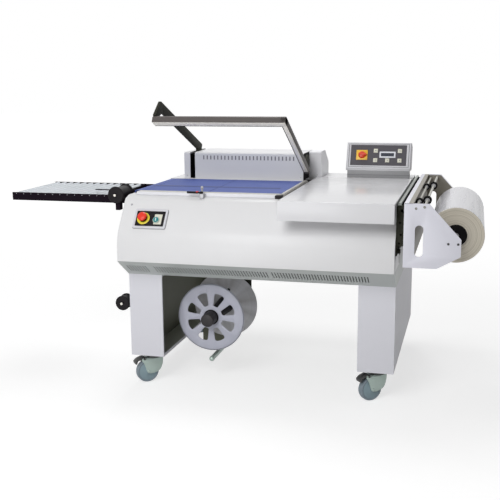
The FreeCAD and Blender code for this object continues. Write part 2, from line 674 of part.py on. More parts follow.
def face_piece(item, along, up, out):
    """Place a turned piece, whose axis is its own Z, with the axis pointing into the tilted face."""
    item.Placement = FreeCAD.Placement(FreeCAD.Vector(), FreeCAD.Rotation(FreeCAD.Vector(1, 0, 0), -90 - v.box_tilt.value))
    item.setExpression("Placement.Rotation.Angle", "(0 - 90 - " + v.box_tilt.text + ") * 1 deg")
    climb = v.box_face / 2 + up
    move(item, face_x + along, v.box_y + climb * sine(v.box_tilt) - out * cosine(v.box_tilt),
         face_low + climb * cosine(v.box_tilt) + out * sine(v.box_tilt))
    return item


def keys():
    for name, along, up in key_places:
        half = v.key_size / 2
        cap = block(name + "_cap", (-half, half), (-3, 4), (-half, half))
        stem = block(name + "_stem", (1 - half, half - 1), (3, 5), (1 - half, half - 1))
        node(name, on_face(join(name + "_key", cap, stem), along, up, 0))


def main_switch_knob():
    disc = lathe("knob_disc", "Y", (0, 0, 0), [
        (0, -v.switch_height * 0.45), (v.switch_radius - 2, -v.switch_height * 0.45), (v.switch_radius, -8),
        (v.switch_radius, -1), (6, -1), (6, 12), (0, 12)])
    grip = block("knob_grip", (-5, 5), (-v.switch_height, -4), (-v.switch_radius * 0.8, v.switch_radius * 0.8))
    return node("main_switch_knob", on_face(join("knob", disc, grip), knob_along, knob_up, 0))


# Operator station on the leaning panel: plate, emergency stop and start button

def on_lean(item, along, up, out):
    turn(item, (1, 0, 0), -lean_angle)
    climb = lean_length * 0.5 + up
    move(item, v.station_x + along, v.front_y + climb * sine(lean_angle) - out * cosine(lean_angle),
         v.panel_bend + climb * cosine(lean_angle) + out * sine(lean_angle))
    return item


estop_along = -30
start_along = 27
station_up = -4


def station_plate():
    half = v.station_width / 2
    tall = v.station_height / 2
    plate = prism("station_body", "Y", -v.station_sheet, v.station_sheet, [
        (-half, 8 - tall), (8 - half, -tall), (half - 8, -tall), (half, 8 - tall), (half, tall - 8), (half - 8, tall),
        (8 - half, tall), (-half, tall - 8)])
    collar = lathe("estop_collar", "Y", (estop_along, 0, 0), [(0, -v.station_sheet - 5), (23, -v.station_sheet - 5),
                                                             (25, -v.station_sheet), (0, -v.station_sheet)])
    ring = lathe("start_collar", "Y", (start_along, 0, 0), [(0, -v.station_sheet - 6), (13, -v.station_sheet - 6),
                                                            (14.5, -v.station_sheet), (0, -v.station_sheet)])
    bores = [lathe("estop_bore", "Y", (estop_along, 0, 0), [(0, -20), (9 + v.gap, -20), (9 + v.gap, 1), (0, 1)]),
             lathe("start_bore", "Y", (start_along, 0, 0), [
                 (0, -20), (v.start_radius + v.gap, -20), (v.start_radius + v.gap, 1), (0, 1)])]
    return node("station_plate", on_lean(cut("station", join("station_joined", plate, collar, ring), *bores), 0,
                                         station_up, 0))


def estop_button():
    face = -v.station_sheet - v.estop_height
    profile = [(0, face), (v.estop_radius * 0.72, face + 1.5), (v.estop_radius * 0.95, face + 5),
               (v.estop_radius, face + 9), (v.estop_radius - 2, face + 13), (9, face + 15),
               (9, -v.estop_travel - 0.5), (0, -v.estop_travel - 0.5)]
    cap = lathe("estop_turned", "Y", (estop_along, 0, 0), profile)
    return node("estop_button", on_lean(join("estop_set", cap, rod("estop_core", "Y", (
        estop_along, -v.station_sheet - v.estop_travel - 8, 0), 6, v.estop_travel + 4)), 0, station_up, 0))


def start_button():
    face = -v.station_sheet - 9
    profile = [(0, face), (v.start_radius - 1.5, face), (v.start_radius, face + 1.5),
               (v.start_radius, -v.start_travel - 0.5), (0, -v.start_travel - 0.5)]
    cap = lathe("start_turned", "Y", (start_along, 0, 0), profile)
    return node("start_button", on_lean(join("start_set", cap, rod("start_core", "Y", (
        start_along, -v.station_sheet - 6, 0), 4, 2)), 0, station_up, 0))


# Film stop on the flange: a block with a post and a turning lever

stop_x = -119


def film_stop():
    top = flange_z + 14
    slope = v.flange_rise / v.flange_depth
    base = prism("stop_block", "X", stop_x - 9, 18, [
        (flange_y - 28, flange_z - slope * 28), (flange_y - 28, top), (flange_y - 2, top),
        (flange_y - 2, flange_z - slope * 2)])
    post = rod("stop_rod", "Z", (stop_x - 2, v.front_seal_y - 8, top - 1), 4, 22)
    ball = lathe("stop_ball", "Z", (stop_x - 2, v.front_seal_y - 8, top + 20), [
        (0, 0), (5, 1), (7, 5), (5, 10), (0, 12)])
    pin = rod("stop_pin", "Z", (stop_x - 2, v.front_seal_y - 21, top - 1), 4, 8)
    node("stop_post", join("stop_joined", base, post, ball, pin))
    lever = block("lever_bar", (stop_x - 52, stop_x + 4), (v.front_seal_y - 26, v.front_seal_y - 16), (top + v.gap, top + 6))
    tip = rod("lever_tip", "Z", (stop_x - 12, v.front_seal_y - 21, top + 5), 5, 4)
    bore = rod("lever_bore", "Z", (stop_x - 2, v.front_seal_y - 21, top - 4), 4 + v.fit_gap, 30)
    node("stop_lever", cut("lever", join("lever_joined", lever, tip), bore))


# Packaging tray and the dark film guide between the casing and the unwinder

def product_tray():
    low = v.casing_top
    outer = block("tray_outer", (v.tray_left, body_right), (v.tray_front, v.tray_rear), (low, v.tray_top))
    inner = block("tray_inner", (v.tray_left + v.sheet, body_right - v.sheet),
                  (v.tray_front + v.sheet, v.tray_rear - v.sheet), (low - 1, v.tray_top - v.sheet))
    flap = block("tray_flap", (v.tray_left, body_right), (v.tray_front, v.tray_front + v.sheet),
                 (v.tray_top - v.tray_flap, v.tray_top - 1))
    cheeks = []
    for x in (v.tray_left, body_right - v.sheet):
        cheeks.append(prism("tray_cheek", "X", x, v.sheet, [
            (v.tray_front, v.tray_top - v.tray_flap), (v.tray_front, low + 1), (v.tray_front + 60, low + 1),
            (v.tray_front + 20, v.tray_top - v.tray_flap)]))
    return node("product_tray", join("tray", cut("tray_shell", outer, inner), flap, *cheeks))


def film_guide_frame():
    left = body_right
    front = v.front_y + 30
    rear = rear_y - 20
    plate = block("guide_sheet", (left, left + v.guide_plate), (front, rear), (v.guide_low, v.casing_top - 2))
    parts = [plate]
    for x, z in ((left + 12, v.bracket_top - 10), (left + 24, v.bracket_top - 34)):
        parts.append(rod("guide_rod", "Y", (x, front, z), v.guide_bar, rear - front))
    for y in (front, rear - 8):
        parts.append(block("guide_end", (left, web_x), (y, y + 8), (v.guide_low + 40, v.bracket_top - 12)))
    knob = rod("guide_knob", "X", (left + v.guide_plate - 1, front + 30, v.guide_low + 14), 9, 12)
    return node("film_guide_frame", join("guide", knob, *parts))


# Unwinder: folded bracket, two feed rollers with rubber rings, mandrel and film roll

feed_left_x = bracket_left + v.feed_x
feed_right_x = feed_left_x + v.feed_pitch
feed_left_z = v.bracket_top - v.feed_drop
feed_right_z = feed_left_z + v.feed_rise
feed_spacing = Size("sqrt(Sizes.feed_pitch ^ 2 + Sizes.feed_rise ^ 2)", math.hypot(SIZES["feed_pitch"], SIZES["feed_rise"]))
ring_large = feed_spacing - v.ring_small - v.gap
bracket_rear = v.bracket_front + v.body_depth


def cheek_points():
    x = bracket_left
    z = v.bracket_top
    return [(x, z), (x + v.cheek_top, z), (x + v.bracket_reach, z - v.cheek_knee),
            (x + v.bracket_reach, z - v.cheek_toe), (x + v.cheek_foot, z - v.bracket_drop), (x, z - v.bracket_drop)]


def unwinder_bracket():
    front = prism("cheek_front", "Y", v.bracket_front, v.bracket_sheet, cheek_points())
    rear = prism("cheek_rear", "Y", bracket_rear - v.bracket_sheet, v.bracket_sheet, cheek_points())
    x = bracket_left
    web = block("bracket_web", (web_x, web_x + v.bracket_sheet), (v.bracket_front + 1, bracket_rear - 1),
                (v.bracket_top - v.bracket_drop, v.bracket_top - 1))
    flange = block("bracket_flange", (x, x + v.flange_width), (v.bracket_front, bracket_rear),
                   (v.bracket_top - v.bracket_sheet, v.bracket_top))
    slots = []
    for y in (v.bracket_front - 5, bracket_rear - v.bracket_sheet - 5):
        slots.append(block("hand_slot", (x + 42, x + 73), (y, y + 15), (v.bracket_top - 187, v.bracket_top - 98)))
        for z in (v.bracket_top - 187, v.bracket_top - 98):
            slots.append(rod("slot_end", "Y", (x + 57.5, y, z), 15.5, 15))
    holes = []
    for hole_x, hole_z, radius in ((feed_left_x, feed_left_z, 5), (feed_right_x, feed_right_z, 5),
                                   (roll_x, roll_z, v.mandrel_radius)):
        holes.append(rod("axle_hole", "Y", (hole_x, v.bracket_front - 5, hole_z), radius + v.fit_gap,
                         v.body_depth + 10))
    return node("unwinder_bracket", cut("bracket", join("bracket_joined", front, rear, web, flange), *slots, *holes))


def feed_roller(label, x, z, ring):
    start = v.gap + 0.2
    length = v.body_depth - v.bracket_sheet * 2
    first = v.ring_front - v.bracket_front - v.bracket_sheet
    second = v.ring_rear - v.bracket_front - v.bracket_sheet
    profile = [(0, -v.bracket_sheet - 2), (5, -v.bracket_sheet - 2), (5, start), (v.feed_radius, start)]
    for ring_start in (first, second):
        profile += [(v.feed_radius, ring_start), (ring, ring_start + 1), (ring, ring_start + v.ring_width - 1),
                    (v.feed_radius, ring_start + v.ring_width)]
    profile += [(v.feed_radius, length - start), (5, length - start), (5, length + v.bracket_sheet + 2),
                (0, length + v.bracket_sheet + 2)]
    return node(label, lathe(label + "_body", "Y", (x, v.bracket_front + v.bracket_sheet, z), profile))


def mandrel():
    """A fixed bar through both cheeks with two chucks inside the film core."""
    length = v.body_depth
    near = v.roll_front - v.bracket_front
    far = v.roll_rear - v.bracket_front
    chuck = v.roll_bore - v.fit_gap
    profile = [(0, -6), (v.mandrel_radius, -6), (v.mandrel_radius, near - 12), (chuck + 5, near - 12),
               (chuck + 5, near - v.gap), (chuck, near - v.gap), (chuck, near + 60), (v.mandrel_radius, near + 60),
               (v.mandrel_radius, far - 60), (chuck, far - 60), (chuck, far + v.gap), (chuck + 5, far + v.gap),
               (chuck + 5, far + 12), (v.mandrel_radius, far + 12), (v.mandrel_radius, length + 4), (0, length + 4)]
    return node("mandrel", lathe("mandrel_body", "Y", (roll_x, v.bracket_front, roll_z), profile))


def film_roll():
    length = v.roll_rear - v.roll_front
    profile = [(v.roll_bore, 0), (v.roll_radius, 0), (v.roll_radius, length), (v.roll_bore, length)]
    return node("film_roll", lathe("film_body", "Y", (roll_x, v.roll_front, roll_z), profile))


# Exit table: two rails with thirteen rollers, carried by two arms on the casing

table_right = v.table_left + v.table_length
table_rear = v.table_front + v.table_width
exit_z = v.table_top - v.exit_radius


def exit_table_frame():
    low = v.table_top - v.table_rail
    parts = []
    for y in (v.table_front, table_rear - v.table_sheet):
        parts.append(block("table_rail_bar", (v.table_left, table_right), (y, y + v.table_sheet), (low, v.table_top)))
    parts.append(block("table_end", (table_right - v.table_sheet, table_right), (v.table_front, table_rear),
                       (low, v.table_top - 4)))
    for y in (v.table_front + v.table_arm_front, table_rear - v.table_arm_rear):
        parts.append(block("table_arm", (table_right - 1, v.body_left), (y, y + v.table_arm),
                           (low, low + v.table_arm_sheet)))
        parts.append(block("table_foot", (v.body_left - v.table_foot_sheet, v.body_left), (y, y + v.table_arm),
                           (low - v.table_foot, low + 1)))
    return node("exit_table_frame", join("table", *parts))


def exit_rollers():
    length = v.table_width - v.table_sheet * 2
    profile = [(0, 0), (v.exit_radius - 1, 0), (v.exit_radius, 1), (v.exit_radius, length - 1),
               (v.exit_radius - 1, length), (0, length)]
    first = v.table_left + v.exit_radius + 4
    roller = lathe("exit_roller", "Y", (first, v.table_front + v.table_sheet, exit_z), profile)
    return node("exit_rollers", row_of("exit_row", roller, roller.Group[-1], v.exit_pitch, v.exit_count))


# Scrap winder: flanged spool on a motor shaft, dancer roller and two guide pulleys

def turned_point(along, across):
    """A point of the first window, turned half a spoke off the sheet's X axis."""
    angle = v.window_angle
    return along * cosine(angle) - across * sine(angle), along * sine(angle) + across * cosine(angle)


def spool_flange(name, y, bore, windows):
    """A disc on the winder's axle; the front one has eight wedge windows patterned round the hub."""
    body = doc.addObject("PartDesign::Body", name)
    profile = [(bore, 0), (v.flange_radius, 0), (v.flange_radius, v.flange_sheet), (bore, v.flange_sheet)]
    sketch = outline(body, name + "_profile", "XZ_Plane", profile)
    disc = body.newObject("PartDesign::Revolution", name + "_disc")
    disc.Profile = sketch
    disc.ReferenceAxis = (sketch, ["V_Axis"])
    disc.Angle = 360
    if windows:
        near = v.window_inner
        far = v.window_outer
        half = [(near, 0), (near, near * 0.16), (near + 3, near * 0.24), (far - 9, far * 0.24),
                (far - 3, far * 0.2), (far + 3, far * 0.08)]
        corners = half + [(along, -across) for along, across in reversed(half[1:])]
        window = outline(body, name + "_window", "XY_Plane", [turned_point(size(a), size(b)) for a, b in corners])
        pocket = body.newObject("PartDesign::Pocket", name + "_pocket")
        pocket.Profile = window
        pocket.Type = "ThroughAll"
        pocket.Midplane = True
        doc.recompute()
        pattern = body.newObject("PartDesign::PolarPattern", name + "_pattern")
        pattern.Originals = [pocket]
        pattern.Axis = (origin_item(body, "Z_Axis"), [""])
        pattern.Angle = 360
        pattern.Occurrences = 8
        body.Tip = pattern
    body.Placement.Rotation = FreeCAD.Rotation(FreeCAD.Vector(1, 0, 0), -90)
    move(body, v.spool_x, y, v.spool_z)
    return body


def scrap_spool():
    front = spool_flange("front_flange", v.spool_front, v.core_collar + v.fit_gap, True)
    rear = spool_flange("rear_flange", v.spool_front + v.spool_length - v.flange_sheet,
                        v.winder_shaft + v.fit_gap, False)
    return node("scrap_spool", group("flanges", front, rear))


def spool_core():
    """A tapered core, wider at the rear, with a collar that carries the front flange."""
    bore = v.winder_shaft + v.fit_gap
    seat = v.flange_sheet + v.fit_gap
    rear = v.spool_length - v.flange_sheet - v.fit_gap
    profile = [(bore, 0.5), (v.core_collar, 0.5), (v.core_collar, seat), (v.core_collar + 5, seat),
               (v.core_collar + 5, seat + 4), (v.core_front, seat + 4), (v.core_rear, rear), (bore, rear)]
    return node("spool_core", lathe("core", "Y", (v.spool_x, v.spool_front, v.spool_z), profile))


def spool_knob():
    radius = v.hub_knob
    long = v.hub_knob_length
    profile = [(0, -long), (radius - 5, -long), (radius, 5 - long), (radius, -6), (radius + 3, -4), (radius + 3, -0.5),
               (0, -0.5)]
    return lathe("hub_knob", "Y", (v.spool_x, v.spool_front, v.spool_z), profile)


def winder_bracket():
    y = v.spool_front + v.spool_length + 14
    left = v.spool_x - v.winder_left
    right = v.spool_x + v.winder_right
    tail = v.spool_z - v.winder_tail
    plate = prism("winder_plate", "Y", y, v.winder_sheet, [
        (left, v.pan_bottom), (right, v.pan_bottom), (right, v.pan_bottom - v.winder_drop),
        (right - v.winder_left, tail + 20), (right - v.winder_left - 20, tail), (left + 20, tail), (left, tail + 20)])
    shaft = rod("winder_axle", "Y", (v.spool_x, v.spool_front - 2, v.spool_z), v.winder_shaft, v.spool_length + 20)
    motor = rod("winder_motor", "Y", (v.spool_x, y + v.winder_sheet - 1, v.spool_z), v.winder_motor,
                v.winder_motor_length)
    foot = block("winder_foot", (left, right), (y, y + 60), (v.pan_bottom - 6, v.pan_bottom))
    pivot = rod("dancer_pivot", "Y", (v.spool_x, y - 11, v.spool_z - v.dancer_pivot), v.dancer_pin, 12)
    return node("winder_bracket", join("winder", plate, shaft, motor, foot, pivot, spool_knob()))


def dancer_arm():
    y = v.spool_front + v.spool_length + 5
    x = v.spool_x
    high_z = v.spool_z - v.dancer_pivot
    low_z = v.spool_z - v.dancer_drop
    half = v.dancer_half
    toe = v.dancer_toe
    arm = prism("dancer_plate", "Y", y, v.dancer_sheet, [
        (x + half, high_z), (x - half, high_z), (x - toe, low_z), (x - toe / 2, low_z - toe),
        (x + toe / 2, low_z - toe), (x + toe, low_z)])
    roller = rod("dancer_roller", "Y", (x, v.spool_front + 4, low_z), v.dancer_radius, v.spool_length + 5)
    bore = rod("dancer_bore", "Y", (x, y - half, high_z), v.dancer_pin + v.fit_gap, half * 4)
    eye = rod("dancer_eye", "Y", (x, y, high_z), half + 1, v.dancer_sheet)
    return node("dancer_arm", cut("dancer", join("dancer_joined", arm, roller, eye), bore))


def pulley(label, x, y, z, radius, length):
    profile = [(6 + v.fit_gap, 0), (radius - 4, 0), (radius, 3), (radius, 6), (radius * 0.55, 12),
               (radius * 0.55, length - 12), (radius, length - 6), (radius, length - 3), (radius - 4, length),
               (6 + v.fit_gap, length)]
    return node(label, lathe(label + "_body", "Y", (x, y, z), profile))


def pulley_brackets():
    top_y = v.pulley_y + v.pulley_length + 1
    upper = [rod("upper_axle", "Y", (v.pulley_x, v.pulley_y - 6, v.pulley_z), 6, v.pulley_length + 12),
             block("upper_arm", (v.pulley_x - 10, v.body_left), (top_y, top_y + 8), (v.pulley_z - 40, v.pulley_z + 10)),
             block("upper_clamp", (v.body_left - 6, v.body_left), (top_y - 30, top_y + 8),
                   (v.pulley_z - 90, v.pulley_z - 4)),
             rod("film_finger", "X", (v.pulley_x - v.film_finger - 9, top_y + 4, v.pulley_z + 6), 2.5, v.film_finger)]
    end = v.low_pulley_y + v.low_pulley_length + 1
    low = [rod("lower_axle", "Y", (v.low_pulley_x, v.low_pulley_y - 6, v.low_pulley_z), 6, v.low_pulley_length + 12),
           block("lower_arm", (v.low_pulley_x - 10, left_leg_x), (end, end + 8), (v.low_pulley_z - 12, v.low_pulley_z + 12)),
           block("lower_foot", (left_leg_x - 5, left_leg_x), (end - 20, end + 30), (v.low_pulley_z - 22, v.low_pulley_z + 22))]
    return node("pulley_brackets", group("brackets", join("upper_bracket", *upper), join("lower_bracket", *low)))


# Castors: fork with its plate and swivel head, wheel, and a brake pedal on the front pair

def castor_set(item, x, y):
    turn(item, (0, 0, 1), v.castor_angle)
    move(item, x, y, 0)
    return item


def castor(label, x, y, brake):
    plate_top = v.leg_bottom
    half = v.wheel_width / 2
    cheek_out = half + 4 + v.fork_sheet
    head_low = v.wheel_radius * 2 + 6
    plate = block(label + "_plate", (-44, 44), (-36, 36), (plate_top - v.castor_plate, plate_top))
    race = lathe(label + "_race", "Z", (0, 0, 0), [
        (0, plate_top - v.castor_plate - 10), (30, plate_top - v.castor_plate - 10), (32, plate_top - v.castor_plate - 4),
        (32, plate_top - v.castor_plate + 1), (0, plate_top - v.castor_plate + 1)])
    head = block(label + "_head", (-36, 30), (-cheek_out, cheek_out), (head_low, head_low + v.fork_sheet * 2))
    neck = rod(label + "_neck", "Z", (0, 0, head_low), 22, plate_top - v.castor_plate - head_low)
    cheeks = []
    for side in (-1, 1):
        y_low = half + 4 if side > 0 else -cheek_out
        cheeks.append(prism(label + "_cheek", "Y", y_low, v.fork_sheet, [
            (30, head_low + 6), (24, head_low - 18), (9 - v.castor_trail, v.wheel_radius - 14),
            (-9 - v.castor_trail, v.wheel_radius - 14), (-26 - v.castor_trail, v.wheel_radius + 12),
            (-28 - v.castor_trail, head_low + 6), (-22 - v.castor_trail, head_low + 11),
            (-11 - v.castor_trail, head_low + 11), (-38, head_low + 6)]))
    axle = rod(label + "_axle", "Y", (-v.castor_trail, -cheek_out - 3, v.wheel_radius), 5, cheek_out * 2 + 6)
    forked = join(label + "_forked", plate, race, head, neck, axle, *cheeks)
    pivot_x = -18 - v.castor_trail
    pivot_z = head_low + 3
    if brake:
        hole = rod(label + "_pedal_hole", "Y", (pivot_x, -60, pivot_z), 4 + v.fit_gap, 120)
        forked = cut(label + "_bored", forked, hole)
    node(label + "_fork", castor_set(forked, x, y))
    wheel = lathe(label + "_tyre", "Y", (-v.castor_trail, -half, v.wheel_radius), [
        (5 + v.fit_gap, -2), (14, -2), (14, 3), (v.wheel_radius - 14, 3), (v.wheel_radius - 11, 0), (v.wheel_radius - 3, 0),
        (v.wheel_radius, 4), (v.wheel_radius, v.wheel_width - 4), (v.wheel_radius - 3, v.wheel_width),
        (v.wheel_radius - 11, v.wheel_width), (v.wheel_radius - 14, v.wheel_width - 3), (14, v.wheel_width - 3),
        (14, v.wheel_width + 2), (5 + v.fit_gap, v.wheel_width + 2)])
    node(label + "_wheel", castor_set(group(label + "_wheeled", wheel), x, y))
    if brake:
        pedal = prism(label + "_pedal_plate", "Y", -14, 28, [
            (pivot_x + 6, pivot_z + 5), (pivot_x - 6, pivot_z + 8), (pivot_x - 30, pivot_z + 1),
            (pivot_x - 38, pivot_z - 8), (pivot_x - 36, pivot_z - 10), (pivot_x - 28, pivot_z - 4),
            (pivot_x - 4, pivot_z - 5), (pivot_x + 6, pivot_z - 4)])
        pivot = rod(label + "_pedal_pin", "Y", (pivot_x, -cheek_out - 2, pivot_z), 4, cheek_out * 2 + 4)
        node(label + "_pedal", castor_set(join(label + "_pedalled", pedal, pivot), x, y))


left_castor_x = left_leg_x + v.leg_width / 2
right_castor_x = right_leg_x + v.leg_width / 2
front_castor_y = leg_front + v.castor_inset
rear_castor_y = rear_y - v.castor_inset

leg("left_leg", left_leg_x, 1)
leg("right_leg", right_leg_x, -1)
base_pan()
front_panel()
side_and_rear_panels()
main_frame()
deck_plate()
conveyor_bed()
conveyor_roller("drive_roller", drive_x)
conveyor_roller("idle_roller", idle_x)
conveyor_belt()
gear_motor()
seal_base()
seal_pads()
bridge_arm()
seal_bar_frame()
seal_strips()
arm_shaft()
arm_bearings()
hood_left()
hood_centre()
hood_right()
control_box()
keys()
main_switch_knob()
station_plate()
estop_button()
start_button()
film_stop()
product_tray()
film_guide_frame()
unwinder_bracket()
feed_roller("feed_roller_left", feed_left_x, feed_left_z, v.ring_small)
feed_roller("feed_roller_right", feed_right_x, feed_right_z, ring_large)
mandrel()
film_roll()
exit_table_frame()
exit_rollers()
scrap_spool()
spool_core()
winder_bracket()
dancer_arm()
pulley("upper_pulley", v.pulley_x, v.pulley_y, v.pulley_z, v.pulley_radius, v.pulley_length)
pulley("lower_pulley", v.low_pulley_x, v.low_pulley_y, v.low_pulley_z, v.low_pulley_radius, v.low_pulley_length)
pulley_brackets()
castor("front_left_castor", left_castor_x, front_castor_y, True)
castor("front_right_castor", right_castor_x, front_castor_y, True)
castor("rear_left_castor", left_castor_x, rear_castor_y, False)
castor("rear_right_castor", right_castor_x, rear_castor_y, False)

doc.recompute()
for item in doc.Objects:
    if "Invalid" in item.State or "Error" in item.State:
        raise RuntimeError("feature failed: " + item.Name)

os.makedirs("parts", exist_ok=True)
for label, item in nodes.items():
    shape = item.Shape
    if shape.isNull() or not shape.isValid():
        raise RuntimeError("bad shape: " + label)
    shape.exportStep("parts/" + label + ".step")
print(len(nodes), "nodes written")
whole = Part.makeCompound([item.Shape for item in nodes.values()])
box = whole.BoundBox
print("X %.1f %.1f  Y %.1f %.1f  Z %.1f %.1f" % (box.XMin, box.XMax, box.YMin, box.YMax, box.ZMin, box.ZMax))
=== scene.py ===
"""Looks of the semi-automatic L-bar wrapping machine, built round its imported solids.

Shapes are drawn in millimetres in the frame of the machine: X to the operator's right, Y to the
rear, Z up from the floor. Each shape is turned into metres as it becomes a piece.
"""
import bmesh
import bpy
import math
from mathutils import Matrix, Vector


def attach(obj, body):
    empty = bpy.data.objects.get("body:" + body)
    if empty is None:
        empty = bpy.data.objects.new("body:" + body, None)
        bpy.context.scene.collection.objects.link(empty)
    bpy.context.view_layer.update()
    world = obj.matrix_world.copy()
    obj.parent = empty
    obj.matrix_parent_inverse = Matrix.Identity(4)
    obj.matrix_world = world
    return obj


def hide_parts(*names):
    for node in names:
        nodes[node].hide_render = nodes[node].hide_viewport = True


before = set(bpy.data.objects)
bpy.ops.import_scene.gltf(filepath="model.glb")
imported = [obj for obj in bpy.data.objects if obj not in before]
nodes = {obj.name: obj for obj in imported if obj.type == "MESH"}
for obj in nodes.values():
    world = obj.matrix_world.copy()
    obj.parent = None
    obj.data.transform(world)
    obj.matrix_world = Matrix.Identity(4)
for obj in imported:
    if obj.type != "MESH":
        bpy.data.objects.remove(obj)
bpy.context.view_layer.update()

to_right = (1, 0, 0)
to_rear = (0, 1, 0)
to_front = (0, -1, 0)
upwards = (0, 0, 1)

# Places that several shapes share, in millimetres
casing_left, casing_width = -449, 1134
front_y, rear_y = -508, 542
bend_z, panel_top, flange_z = 677, 823, 834
belt_z, belt_front, belt_depth = 846, -296, 450
hinge_y, hinge_z, arm_raise = 262, 920, 26.7
box_y, box_low, box_face, box_tilt = 332, 883, 140, 23.5
spool_x, spool_z, spool_front = -125, 288, -258
spool_at = (spool_x, 0, spool_z)
roll_at = (905, 0, 702)
feeds_at = ((760, 831), (791, 837))
wheel_trail, wheel_radius, wheel_width, castor_turn = -34, 50, 30, 40
wheel_at = (wheel_trail, -wheel_width / 2, wheel_radius)
table_left, table_pitch, table_count = -1015, 35, 13


# Shapes

def eased(bm, edges, offset, segments):
    """Round the given edges."""
    bmesh.ops.bevel(bm, geom=edges, offset=offset, affect="EDGES", segments=segments, profile=0.5,
                    material=-1)


def flat_place(axis, start):
    """Where a flat point stands: YZ points for X, XZ points for Y, XY points for Z."""
    if axis == "X":
        return lambda a, b: (start, a, b)
    if axis == "Y":
        return lambda a, b: (a, start, b)
    return lambda a, b: (a, b, start)


def drawn_out(bm, faces, axis, length):
    """Draw flat faces out along an axis."""
    drawn = bmesh.ops.extrude_face_region(bm, geom=faces)
    moved = [item for item in drawn["geom"] if isinstance(item, bmesh.types.BMVert)]
    way = Vector([length if name == axis else 0 for name in "XYZ"])
    bmesh.ops.translate(bm, vec=way, verts=moved)
    bmesh.ops.recalc_face_normals(bm, faces=bm.faces)


def boxed(low, high, bevel=1.0, segments=2):
    """A block between two corners with its edges rounded."""
    bm = bmesh.new()
    bmesh.ops.create_cube(bm, size=1)
    low = Vector(low)
    high = Vector(high)
    bmesh.ops.scale(bm, vec=high - low, verts=bm.verts)
    bmesh.ops.translate(bm, vec=(low + high) / 2, verts=bm.verts)
    if bevel:
        eased(bm, bm.edges[:], bevel, segments)
    return bm


def turned(profile, centre, steps, axis=to_rear):
    """A turned shape: (radius, distance) points spun round an axis, in so many steps."""
    bm = bmesh.new()
    points = [bm.verts.new((max(radius, 0.0), 0, along)) for radius, along in profile]
    edges = [bm.edges.new((points[i], points[i + 1])) for i in range(len(points) - 1)]
    if profile[0][0] > 0 and profile[-1][0] > 0 and profile[0] != profile[-1]:
        edges.append(bm.edges.new((points[-1], points[0])))
    bmesh.ops.spin(bm, geom=points + edges, cent=(0, 0, 0), axis=(0, 0, 1), angle=math.tau, steps=steps,
                   use_merge=True)
    bmesh.ops.remove_doubles(bm, verts=bm.verts, dist=0.0005)
    bmesh.ops.recalc_face_normals(bm, faces=bm.faces)
    spin = Vector((0, 0, 1)).rotation_difference(Vector(axis)).to_matrix().to_4x4()
    bmesh.ops.transform(bm, matrix=Matrix.Translation(centre) @ spin, verts=bm.verts)
    return bm


def both_ends(half, span):
    """A turned profile whose second half mirrors the first within a span."""
    return half + [(radius, span - along) for radius, along in reversed(half)]


def extruded(points, axis, start, length, bevel=0.0, segments=2):
    """A flat outline drawn out along X (YZ points), Y (XZ points) or Z (XY points)."""
    bm = bmesh.new()
    place = flat_place(axis, start)
    face = bm.faces.new([bm.verts.new(place(a, b)) for a, b in points])
    drawn_out(bm, [face], axis, length)
    if bevel:
        sharp = math.radians(20)
        eased(bm, [edge for edge in bm.edges if edge.calc_face_angle(0) > sharp], bevel, segments)
    return bm


def rounded(points, radius, steps=5):
    """The outline with each corner turned into an arc."""
    result = []
    count = len(points)
    for index, point in enumerate(points):
        corner = Vector(point[:2])
        before = Vector(points[index - 1][:2]) - corner
        after = Vector(points[(index + 1) % count][:2]) - corner
        here = point[2] if len(point) > 2 else radius
        reach = min(here, before.length * 0.48, after.length * 0.48)
        if reach < 0.05:
            result.append((corner.x, corner.y))
            continue
        first = corner + before.normalized() * reach
        last = corner + after.normalized() * reach
        for step in range(steps + 1):
            part = step / steps
            spot = first * (1 - part) ** 2 + corner * 2 * part * (1 - part) + last * part ** 2
            result.append((spot.x, spot.y))
    return result


def pierced(outline, holes, axis, start, length, bevel=0.5, segments=2):
    """A plate with holes: the outline and hole lines are filled, then drawn out."""
    bm = bmesh.new()
    place = flat_place(axis, start)
    edges = []
    for loop in [outline] + list(holes):
        points = [bm.verts.new(place(a, b)) for a, b in loop]
        edges += [bm.edges.new((points[i - 1], points[i])) for i in range(len(points))]
    bmesh.ops.triangle_fill(bm, use_beauty=True, use_dissolve=True, edges=edges)
    drawn_out(bm, bm.faces[:], axis, length)
    if bevel:
        low, high = math.radians(80), math.radians(100)
        eased(bm, [edge for edge in bm.edges if low < edge.calc_face_angle(0) < high], bevel, segments)
    return bm


def rectangle(left, low, right, high):
    """The corners of an upright rectangle."""
    return [(left, low), (right, low), (right, high), (left, high)]


def ring_of(centre, radius, count):
    """Points round a circle."""
    return [(centre[0] + radius * math.cos(math.tau * i / count),
             centre[1] + radius * math.sin(math.tau * i / count)) for i in range(count)]


def merged(*shapes):
    """Several shapes as one."""
    whole = bmesh.new()
    for shape in shapes:
        mesh = bpy.data.meshes.new("part")
        shape.to_mesh(mesh)
        shape.free()
        whole.from_mesh(mesh)
        bpy.data.meshes.remove(mesh)
    return whole


def placed(bm, matrix):
    """The shape moved and turned."""
    bmesh.ops.transform(bm, matrix=matrix, verts=bm.verts)
    return bm


def linked(name, data):
    """An object in the scene that shows the data."""
    item = bpy.data.objects.new(name, data)
    bpy.context.scene.collection.objects.link(item)
    return item


def piece(name, bm, finish, body, stands_for=(), smooth=35):
    """Turn a shape drawn in millimetres into a piece that rides on a body."""
    bmesh.ops.scale(bm, vec=(0.001, 0.001, 0.001), verts=bm.verts)
    mesh = bpy.data.meshes.new(name)
    bm.to_mesh(mesh)
    bm.free()
    mesh.polygons.foreach_set("use_smooth", [True] * len(mesh.polygons))
    mesh.set_sharp_from_angle(angle=math.radians(smooth))
    item = linked(name, mesh)
    mesh.materials.append(finish)
    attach(item, body)
    if stands_for:
        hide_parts(*stands_for)


